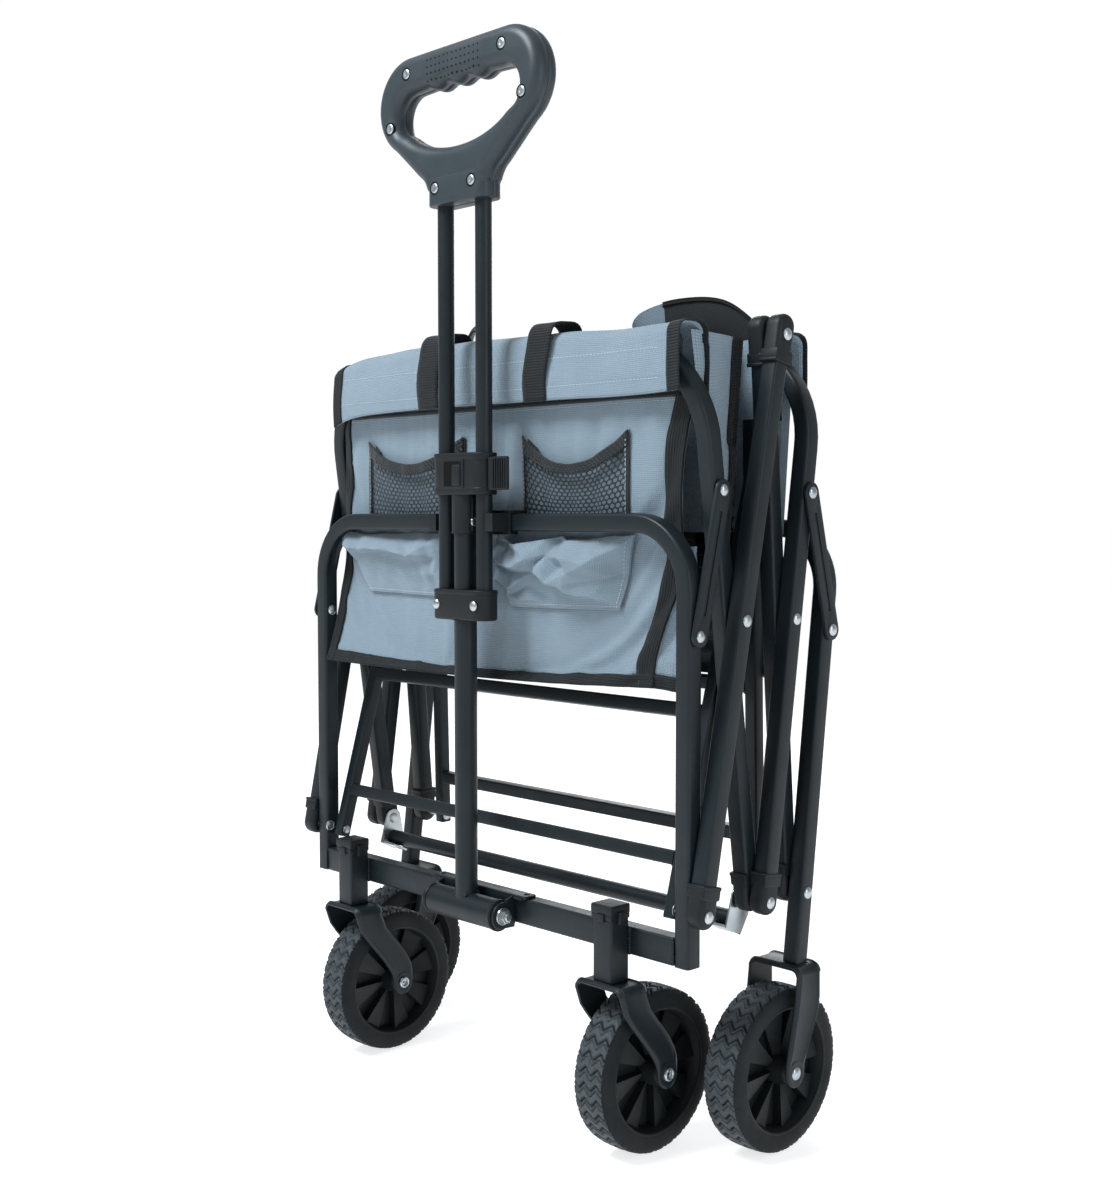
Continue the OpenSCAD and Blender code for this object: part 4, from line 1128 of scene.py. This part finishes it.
def smooth_through(pts, z):
    """Catmull-Rom curve through (z, x) points."""
    if z <= pts[0][0]:
        return pts[0][1]
    for k in range(len(pts) - 1):
        if z <= pts[k + 1][0]:
            (z1, x1), (z2, x2) = pts[k], pts[k + 1]
            x0 = pts[k - 1][1] if k else x1
            x3 = pts[k + 2][1] if k + 2 < len(pts) else x2
            return catmull(x0, x1, x2, x3, (z - z1) / (z2 - z1))
    return pts[-1][1]


def catmull(a, b, c, d, t):
    bend, twist = 2 * a - 5 * b + 4 * c - d, 3 * b - a - 3 * c + d
    return 0.5 * (2 * b + (c - a) * t + bend * t * t + twist * t ** 3)


# the front panel's side edges as (z, x)
RIGHT = [(416, 203), (440, 205), (475, 216), (510, 232), (545, 238), (580, 236), (615, 236), (650, 241),
         (684, 250)]
LEFT = [(416, -252), (470, -251), (530, -249), (590, -247), (640, -247), (684, -250)]


def right_edge(z):
    return smooth_through(RIGHT, z)


def left_edge(z):
    return smooth_through(LEFT, z)


# where the slack cloth creases: x, z, direction, half width, depth toward the front
FOLDS = [(215, 560, 62, 9, 9), (196, 588, 50, 7, 6), (228, 610, 75, 7, 5), (150, 470, 12, 16, 5),
         (190, 450, 52, 9, 7), (-150, 470, 24, 14, 5), (-215, 480, 70, 9, 7), (-70, 450, -8, 16, 4),
         (60, 455, 20, 12, 4), (-226, 640, 82, 8, 5), (210, 655, -30, 8, 4), (-10, 660, -70, 9, 3),
         (205, 500, 40, 8, 6), (20, 610, 85, 10, 3), (130, 672, 5, 6, 3)]


def panel_rest(u, v):
    """v 0 at the seam under the hem, 1 at the bottom binding."""
    sag = 3.0 * sin(pi * u) - 2.5 * u
    z = SEAM_Z - v * 263 - v * sag
    x = left_edge(z) * (1 - u) + right_edge(z) * u
    y = -50.0 + 4.0 * sin(pi * v) * sin(pi * u)
    low = max(0.0, (v - 0.55) / 0.45)
    y -= 24 * low ** 1.6 * (1 - u) ** 1.3
    y -= 5 * low * sin(pi * u)
    y += 5 * max(0.0, (u - 0.86) / 0.14) ** 2
    y += wrinkle(x, z, 2.6, 3.3, 75)
    near_edge = min(1, 9 * min(u, 1 - u)) * min(1, 9 * min(v, 1 - v))
    for fx, fz, ang, width, deep in FOLDS:
        ca, sa = cos(radians(ang)), sin(radians(ang))
        along_fold, off_fold = (x - fx) * ca + (z - fz) * sa, -(x - fx) * sa + (z - fz) * ca
        fade = max(0.0, 1 - abs(along_fold) / 90) ** 1.2 * near_edge
        y -= deep * fade * exp(-(off_fold / width) ** 2)
    return x, y, z


def settle(ob, nu, nv, frames=22, slack=0.015):
    """Cloth simulation with a little extra cloth between pinned edges, baked back into the mesh."""
    vg = ob.vertex_groups.new(name="pin")
    for i in range(nu + 1):
        for j in range(nv + 1):
            if i in (0, nu) or j in (0, nv):
                vg.add([i * (nv + 1) + j], 1.0, "REPLACE")
    md = ob.modifiers.new("settle", "CLOTH")
    st = md.settings
    st.quality = 6
    st.mass = 0.25
    st.tension_stiffness = st.compression_stiffness = 25
    st.shear_stiffness = 12
    st.bending_stiffness = 1.2
    st.vertex_group_mass = "pin"
    st.shrink_min = -slack
    st.air_damping = 2.0
    md.collision_settings.use_collision = False
    md.point_cache.frame_start = 1
    md.point_cache.frame_end = frames
    sc = bpy.context.scene
    for fr in range(1, frames + 1):
        sc.frame_set(fr)
    dg = bpy.context.evaluated_depsgraph_get()
    me = ob.evaluated_get(dg).to_mesh()
    co = [v.co.copy() for v in me.vertices]
    ob.evaluated_get(dg).to_mesh_clear()
    ob.modifiers.clear()
    ob.vertex_groups.clear()
    for v, c in zip(ob.data.vertices, co):
        v.co = c
    ob.data.update()
    sc.frame_set(1)


def hung_panel(name, nu, nv, rest, toward):
    """A panel settled from its rest shape, and a function that gives places on it, pushed off by so much."""
    ob = grid(name, nu, nv, rest, FACED)
    settle(ob, nu, nv)
    settled = [v.co * 1000 for v in ob.data.vertices]

    def place(u, v, off=0.0):
        a, b = unit(u) * nu, unit(v) * nv
        i, j = min(int(a), nu - 1), min(int(b), nv - 1)
        s, t = a - i, b - j
        q = i * (nv + 1) + j
        low = settled[q] * (1 - s) + settled[q + nv + 1] * s
        high = settled[q + 1] * (1 - s) + settled[q + nv + 2] * s
        return low * (1 - t) + high * t + Vector((0, toward * off, 0))

    return ob, place


panel, on_panel = hung_panel("front panel", 104, 60, panel_rest, -1)


def at_xz(x, z):
    """(u, v) on the panel for a place seen from the front."""
    v = min(max((SEAM_Z - z) / 263, 0), 1)
    lo, hi = left_edge(z), right_edge(z)
    return (x - lo) / (hi - lo), v


# right and left webbing, bottom binding with a curled lower edge, seam stitches under the hem, and a dark
# strip painted as the shade in the gap under the hem
seam = [on_panel(0.01 + 0.98 * i / 140, 0.022, 0.6) for i in range(141)]
panel_extra = [
    grid("right webbing", 70, 5, lambda u, v: on_panel(1.004 - 0.044 * v, u, 1.3), WEBBING, 1.6),
    grid("left webbing", 70, 5, lambda u, v: on_panel(-0.004 + 0.026 * v, u, 1.3), WEBBING, 1.6),
    grid("bottom binding", 110, 5,
         lambda u, v: on_panel(u, 1.0 - 0.045 * v, 1.4) - Vector((0, 0, 0.8 * (1 - v))), WEBBING, 1.6),
    stitch_line(seam, (0, -1, 0)),
    # dark strip painted as the shade in the gap under the hem
    grid("hem gap shade", 100, 2, lambda u, v: on_panel(u, 0.012 * v, 0.7), LINING, 0.6)]


# mesh pockets
def pocket(x0, x1, z0, z1, bow, seed):
    """Open net pocket with a bowed elastic mouth."""
    def place(a, b, lift=0.0):
        top = z1 - bow * (1 - (2 * a - 1) ** 2)
        x = x0 + (x1 - x0) * a + 4 * (b - 0.5) * (a - 0.5)
        z = z0 + (top - z0) * b
        belly = 6.5 * max(sin(pi * a), 0) ** 0.7 * (0.25 + 0.75 * b) + 1.4 * wave(x / 22, z / 30, seed)
        return on_panel(*at_xz(x, z), 1.6 + belly) - Vector((0, lift, 0))

    verts, faces = [], []
    cell = 6.0
    w, h = x1 - x0, z1 - z0
    cols, rows = int(w / cell), int(h / (cell * 0.8660254))
    for r in range(rows):
        for c in range(cols):
            cx = (c + 0.5 + (0.5 if r % 2 else 0)) / (cols + 0.5)
            cy = (r + 0.6) / (rows + 0.2)
            base = len(verts)
            for k in range(6):
                a = radians(60 * k + 30)
                dx, dy = cos(a) * cell * 0.5774 / w, sin(a) * cell * 0.5774 / h
                for q in (1, 0.70):
                    verts.append(place(unit(cx + dx * q), unit(cy + dy * q)))
            for k in range(6):
                n = (k + 1) % 6
                faces.append((base + 2 * k, base + 2 * n, base + 2 * n + 1, base + 2 * k + 1))
    out = [build("net", verts, faces, NET, 180),
           grid("elastic mouth", 40, 5, lambda u, v: place(u, 0.86 + 0.19 * v, 1.2), ELASTIC, 1.6)]
    for a, s in ((0.0, -1), (1.0, 1)):
        line = [place(a - s * 0.012, i / 20, 1.4) for i in range(21)]
        out += [grid("pocket side", 26, 3,
                     lambda u, v: place(a - s * 0.03 * (1 - v) + s * 0.012, 1.03 * u, 0.5), LINING, 0.9),
                stitch_line(line, (0, -1, 0), 4.4, 2.8, 0.32),
                grid("pocket tab", 5, 4, lambda u, v: place(a - s * 0.16 * u, 1.04)
                     + Vector((0, 4.5 - 3 * u, 2 - 9 * v * (1 - 0.2 * u))), ELASTIC, 1.4)]
    out.append(grid("pocket foot", 40, 2, lambda u, v: place(u, 0.035 * v, 0.6), LINING, 0.8))
    return out


panel_extra += pocket(41, 178, 576, 651, 27, 1.0)
panel_extra += pocket(-205, -52, 576, 653, 24, 4.0)


# lower pouches: slack bellows pockets crumpled under their flaps
def creased(points):
    """Height over a unit square from creases through (a, b, height) points, its folds slightly rounded."""
    flat = [Vector((a, b)) for a, b, _ in points]
    tris = geometry.delaunay_2d_cdt(flat, [], [], 0, 1e-6)
    vs, faces, origin = tris[0], tris[2], tris[3]
    high = [points[o[0]][2] if o else 0 for o in origin]

    def at(a, b):
        q = Vector((min(max(a, 0.0), 1.0), min(max(b, 0.0), 1.0)))
        for f in faces:
            i, j, k = f
            d = (vs[j] - vs[i]).cross(vs[k] - vs[i])
            w1, w2 = (q - vs[i]).cross(vs[k] - vs[i]) / d, (vs[j] - vs[i]).cross(q - vs[i]) / d
            if w1 > -1e-4 and w2 > -1e-4 and w1 + w2 < 1.0001:
                return high[i] * (1 - w1 - w2) + high[j] * w1 + high[k] * w2
        return 0.0

    def height(a, b):
        e = 0.011
        return (2 * at(a, b) + at(a - e, b) + at(a + e, b) + at(a, b - e) + at(a, b + e)) / 6
    return height


def pouch(x0, x1, x2, x3, z0, z1, points, seed, seam):
    """x0..x1 bottom edge, x2..x3 top edge; a slack pocket crumpled about its tip."""
    height = creased(points)

    def f(u, v):
        lo, hi = x0 + (x2 - x0) * v, x1 + (x3 - x1) * v
        x = lo + (hi - lo) * u
        wob = wave(x / 20, v * 3, seed)
        h = 1.3 * height(u + 0.03 * wob, v + 0.03 * wob)
        z = z0 + (z1 - z0) * v - 0.42 * max(h - 5, 0)
        h += 1.6 * wave(x / 14 + z / 40, z / 12, seed) * min(1, 6 * min(u, 1 - u, v + 0.04))
        return on_panel(*at_xz(x, z), 1.4 + max(h, 0))

    out = [grid("pouch", 96, 66, f, FACED, 0.9)]
    edge = [f(0.02 + 0.96 * i / 60, 0.05) for i in range(61)]
    side = [f(seam, 0.05 + 0.9 * i / 40) for i in range(41)]
    for line in (edge, side):
        out.append(stitch_line([p + Vector((0, -0.7, 0)) for p in line], (0, -1, 0), 4.2, 2.8, 0.26))
    return out


RIM = [(0, 0, 1), (0.5, 0, 1), (1, 0, 1), (1, 0.5, 1), (1, 1, 2)]
panel_extra += pouch(24, 165, 8, 188, 494, 562, RIM + [
    (0, 0.30, 5), (0, 0.62, 9), (0, 1, 4), (0.05, 0.20, 9), (0.04, 0.50, 17), (0.06, 0.78, 21),
    (0.13, 0.36, 15), (0.14, 0.56, 10), (0.20, 0.30, 4), (0.22, 0.68, 21), (0.31, 0.52, 8),
    (0.36, 0.72, 14), (0.34, 0.82, 25), (0.20, 0.88, 14), (0.26, 1.0, 20), (0.42, 0.98, 11),
    (0.45, 0.80, 12), (0.42, 0.64, 22), (0.50, 0.50, 22), (0.46, 0.46, 8), (0.62, 0.36, 19),
    (0.58, 0.30, 6), (0.54, 0.64, 12), (0.66, 0.62, 22), (0.62, 0.84, 25), (0.74, 0.96, 14),
    (0.80, 0.78, 23), (0.80, 0.20, 11), (0.76, 0.14, 3), (0.90, 0.52, 10), (0.92, 0.88, 11),
    (0.52, 1.0, 6), (0.60, 1.0, 13)], 0.6, 0.975)
panel_extra += pouch(-198, -62, -243, -66, 500, 563, RIM + [
    (0, 0.5, 5), (0, 1, 8), (0.04, 0.84, 15), (0.16, 0.66, 8), (0.22, 0.80, 17), (0.42, 0.74, 9),
    (0.46, 0.86, 19), (0.66, 0.72, 16), (0.68, 0.56, 7), (0.74, 0.80, 18), (0.60, 0.96, 9),
    (0.86, 0.90, 15), (0.30, 0.96, 12), (0.86, 0.40, 9), (0.55, 0.30, 4), (0.92, 0.66, 10)], 2.4, 0.97)


def corner_cloth(u, v):
    """Slack cloth from the panel's right edge back to the hoop, behind the frame's leg."""
    z = 424 + 126 * v
    x = right_edge(z) - 6
    wob = wave(u * 2.5 + v, v * 4, 6.1)
    p = on_panel(*at_xz(x, z), -1)
    return Vector((x + (244 - x) * u, p.y + 12 * u + 5 * wob * min(1, 4 * u), z - 4 * u * (1 - v)))


panel_extra += [grid("corner cloth", 30, 40, corner_cloth, FACED),
                grid("corner binding", 30, 3, lambda u, v: corner_cloth(u, 0.10 * v) + Vector((0, -1.2, -1)),
                     WEBBING, 1.5)]
panel_extra.insert(0, grid("front lining", 60, 30,
                           lambda u, v: on_panel(0.01 + 0.98 * u, 0.99 * v, -4.0), LINING))


# rear panel
def rear_rest(u, v):
    z = SEAM_Z - v * 258
    half = 246 - 10 * sin(pi * v)
    x = -half + 2 * half * u
    y = C_TOP.y - 3.0 + 3.5 * sin(pi * u) * sin(pi * v * 0.8) - 2 * v
    return x, y + wrinkle(x, z, 2.4, 7.7, 80), z


rear_panel, on_rear = hung_panel("rear panel", 84, 46, rear_rest, 1)
for lo, hi in ((1.004, 0.96), (-0.004, 0.04)):
    rear_extra.append(grid("rear webbing", 60, 5,
                           lambda u, v: on_rear(lo + (hi - lo) * v, u, 1.3), WEBBING, 1.6))
rear_extra.append(grid("rear binding", 90, 5, lambda u, v: on_rear(u, 1.0 - 0.05 * v, 1.4), WEBBING, 1.6))
rear_extra.append(stitch_line([on_rear(0.01 + 0.98 * i / 120, 0.03, 0.6) for i in range(121)], (0, 1, 0)))
rear_lining = grid("rear lining", 60, 30, lambda u, v: on_rear(0.01 + 0.98 * u, 0.99 * v, -1.6), LINING)


# side cloth: a wide sheet gathered into upright folds between the hoops
def side_path():
    """Plan of the folded side cloth between its two webbing edges as (x, y), drawn for +X."""
    turns = [(249, 15), (246, 17), (120, 4), (120, 15), (206, 19), (206, 30), (116, 31), (118, 44), (206, 46),
             (205, 57), (150, 58), (152, 70), (226, 73), (250, 74)]
    turns = [Vector(p) for p in turns]
    pts = turns[:1]
    for a, p, b in zip(turns, turns[1:], turns[2:]):
        q0, q1 = (p + (e - p).normalized() * min(4.6, (e - p).length * 0.45) for e in (a, b))
        for t in (0, 0.25, 0.5, 0.75, 1):
            pts.append((q0 * (1 - t) + p * t) * (1 - t) + (p * (1 - t) + q1 * t) * t)
    pts.append(turns[-1])
    lens = [0.0]
    for a, b in zip(pts, pts[1:]):
        lens.append(lens[-1] + (b - a).length)
    return pts, lens


SPTS, SLEN = side_path()


def along(t):
    d = t * SLEN[-1]
    for k in range(len(SLEN) - 1):
        if d <= SLEN[k + 1]:
            f = (d - SLEN[k]) / max(SLEN[k + 1] - SLEN[k], 1e-6)
            return SPTS[k] * (1 - f) + SPTS[k + 1] * f
    return SPTS[-1]


def hoop_y(z):
    return S.y + (S.z - z) * tan(radians(-HOOP_LEAN))


def side_sheet(sgn, seed):
    """One sheet: flat from the hoop to the webbing edge, gathered folds inside, flat to the rear hoop."""
    A, B = 0.085, 0.965

    def f(u, v):
        if u < A:
            k = u / A
            bottom = 436 + 64 * max(0.0, k - 0.35) / 0.65
            z = bottom + (738 - 3 * k - bottom) * v
            y = (hoop_y(z) + 9.5) * (1 - k) + (15 + (z - 723) * 0.10) * k
            x = 246 + 4 * sin(pi * k) + (2.5 if z < 640 else 0) * k
            return Vector((sgn * (x + 2.6 * wave(k * 2 + seed, z / 45, seed)), y, z))
        if u > B:
            k = (u - B) / (1 - B)
            z = 560 + 140 * v
            return Vector((sgn * (250 + 4 * k), 74 + 7 * k + (z - 640) * 0.08, z))
        k = (u - A) / (B - A)
        p = along(k)
        inward = max(0.0, min(1.0, (246 - p.x) / 110))
        top = 735 + 8 * inward - 30 * max(0.0, k - 0.85) / 0.15
        bottom = 500 + 62 * min(1.0, inward * 4 + 8 * max(0, k - 0.5))
        z = bottom + (top - bottom) * v
        wob = 3.0 * wave(u * 14 + seed, z / 55, seed) * min(1, 8 * min(k, 1 - k))
        return Vector((sgn * (p.x + wob), p.y + (z - 723) * 0.10 * max(0.0, 1 - k / 0.12) + 0.7 * wob, z))

    return grid("side cloth", 240, 30, f, FACED), [
        grid("side top binding", 220, 3, lambda u, v: f(A + 0.02 + (0.98 - A) * u, 1.0 - 0.05 * v)
             + Vector((0, -0.5, 0.3)), WEBBING, 1.4),
        grid("side foot binding", 24, 3,
             lambda u, v: f(u * A, 0.045 * v) + Vector((sgn * 0.8, 0, 0)), WEBBING, 1.4),
        grid("side webbing", 5, 60, lambda u, v: f(A - 0.012 * u, 0.02 + 0.98 * v)
             + Vector((sgn * (1.3 + 2.2 * u * (1 - u)), 3.5 * (1 - u), 0)), WEBBING, 1.5)]


def side_arch(sgn, seed):
    """Slack top edge of the side cloth standing up in an arch, grey in front and black further back."""
    ctrl = [(236, -46, 734), (190, -22, 744), (132, 2, 752), (122, 24, 770), (146, 50, 782), (182, 72, 780),
            (214, 84, 756), (238, 88, 726)]
    dark_from = 0.52

    def f(u, v):
        q = u * (len(ctrl) - 1)
        k = min(int(q), len(ctrl) - 2)
        near = [Vector(ctrl[min(max(k + d, 0), len(ctrl) - 1)]) for d in (-1, 0, 1, 2)]
        p = catmull(*near, q - k)
        drop = (1 - v) * (24 + 30 * sin(pi * u))
        bow = 5 * sin(pi * v) * sin(pi * u)
        return Vector((sgn * (p.x + bow + 1.5 * wave(u * 5, v, seed)), p.y - bow * 0.6, p.z - drop))

    out = [grid("side arch", 90, 10, f, FACED, 0.0, dark_from)]
    for name, dy, thick in (("arch binding", -0.8, 1.5), ("arch inner binding", 0.9, 0.8)):
        out.append(grid(name, 60, 3, lambda u, v: f(dark_from + (1 - dark_from) * u, 0.92 + 0.09 * v)
                        + Vector((0, dy, 0.3)), WEBBING, thick))
    return out


side_r, side_r_extra = side_sheet(1, 2.2)
side_l, side_l_extra = side_sheet(-1, 8.8)
side_r_extra += side_arch(1, 1.0)
side_l_extra += side_arch(-1, 4.0)

FLOOR_CLOTH_FROM = 192         # along the floor half from its pivot


def floor_sheet(name, p, a, length, sgn, seed):
    """Pleated cloth lying on one floor half."""
    d, n = up(a), Vector((0, cos(radians(a)), -sin(radians(a))))

    def f(u, v):
        x = -198 + 396 * u
        t = FLOOR_CLOTH_FROM + (length - 12 - FLOOR_CLOTH_FROM) * v
        pleat = 2.6 * sin(v * 2 * pi * 9 + 1.5 * wave(u * 3, v, seed)) + 1.6 * wave(u * 5, v * 4, seed)
        q = p + d * t + n * (sgn * (10.5 + pleat))
        return x, q.y, q.z
    return grid(name, 50, 108, f, LINING)


floor_f = floor_sheet("front floor cloth", F0, FLOOR_LEAN, FLOOR_LEN, -1, 1.1)
floor_r = floor_sheet("rear floor cloth", D0, R_LEAN, R_LEN, 1, 5.1)


# ------------------------------------------------------------------ what the cloth rides and stands for
for group, body, stands_for, anchor in (
        ([front_hem, panel] + hem_extra + panel_extra, "front_cloth", "front_panel", B_TOP),
        ([rear_hem, rear_panel, rear_lining] + rear_extra, "rear_cloth", "rear_panel", C_TOP)):
    for k, o in enumerate(group):
        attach(o, body)
        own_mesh(o)
        if k < 2:
            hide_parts(stands_for)
for ob, extra in ((side_r, side_r_extra), (side_l, side_l_extra)):
    for o in [ob] + extra:
        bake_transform(o)
    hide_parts("side_panels")
for ob, end, base, d, length in ((floor_f, "front", F0, up(FLOOR_LEAN), FLOOR_LEN),
                                 (floor_r, "rear", D0, up(R_LEAN), R_LEN)):
    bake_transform(ob)
    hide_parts("floor_cloth_" + end)

# ------------------------------------------------------------------ stage
pale = bpy.data.materials.new("pale floor")
pb = nodes_of(pale)[1]
for label, value in (("Base Color", (0.60, 0.605, 0.61, 1)), ("Emission Color", (1, 1, 1, 1)),
                     ("Emission Strength", 0.72), ("Roughness", 1.0), ("Specular IOR Level", 0.0)):
    pb.inputs[label].default_value = value
me = bpy.data.meshes.new("floor")
me.from_pydata([(-60, -60, 0), (60, -60, 0), (60, 60, 0), (-60, 60, 0)], [], [(0, 1, 2, 3)])
link(me, "floor", pale, 0)

# the sky is brighter toward one side, and plain white where the camera sees it
world = bpy.data.worlds.new("studio")
bpy.context.scene.world = world
world.use_nodes = True
wn = world.node_tree
toward = wn.nodes.new("ShaderNodeVectorMath")
toward.operation = "DOT_PRODUCT"
wn.links.new(wn.nodes.new("ShaderNodeTexCoord").outputs["Generated"], toward.inputs[0])
toward.inputs[1].default_value = (-0.72, 0.694, 0.0)
seen = maths(wn, "MULTIPLY", wn.nodes.new("ShaderNodeLightPath").outputs["Is Camera Ray"], 1.04)
glow = remap(wn, toward.outputs["Value"], 0.42, 0.92, 0.45, 0.82)
wn.links.new(maths(wn, "MAXIMUM", glow, seen), wn.nodes["Background"].inputs[1])
wn.nodes["Background"].inputs[0].default_value = (0.97, 0.985, 1.0, 1)

for name, at, target, size, power in (("key", (-0.5, -1.6, 2.6), (0, 0, 0.5), (1.0, 1.0), 84),
                                      ("right fill", (2.8, -0.2, 1.3), (0, 0, 0.5), (0.8, 2.0), 16),
                                      ("rim", (-1.6, 2.2, 1.8), (0, 0, 0.6), (1.0, 1.6), 22)):
    lamp = bpy.data.lights.new(name, "AREA")
    lamp.shape = "RECTANGLE"
    lamp.size, lamp.size_y = size
    lamp.energy = power
    lamp.color = (0.90, 0.96, 1.0)
    ob = bpy.data.objects.new(name, lamp)
    bpy.context.collection.objects.link(ob)
    ob.location = at
    ob.rotation_euler = (Vector(target) - Vector(at)).to_track_quat("-Z", "Y").to_euler()

cam = bpy.data.cameras.new("camera")
cam.lens = 46.2
cam.sensor_width = 36
cam.sensor_fit = "AUTO"
cam_ob = bpy.data.objects.new("camera", cam)
bpy.context.collection.objects.link(cam_ob)
cam_ob.location = (1.1302, -1.0852 + 0.02568, 0.5762)
cam_ob.rotation_euler = (radians(86.9), 0, radians(46.08))
bpy.context.scene.camera = cam_ob
bpy.context.scene.view_settings.view_transform = "Standard"
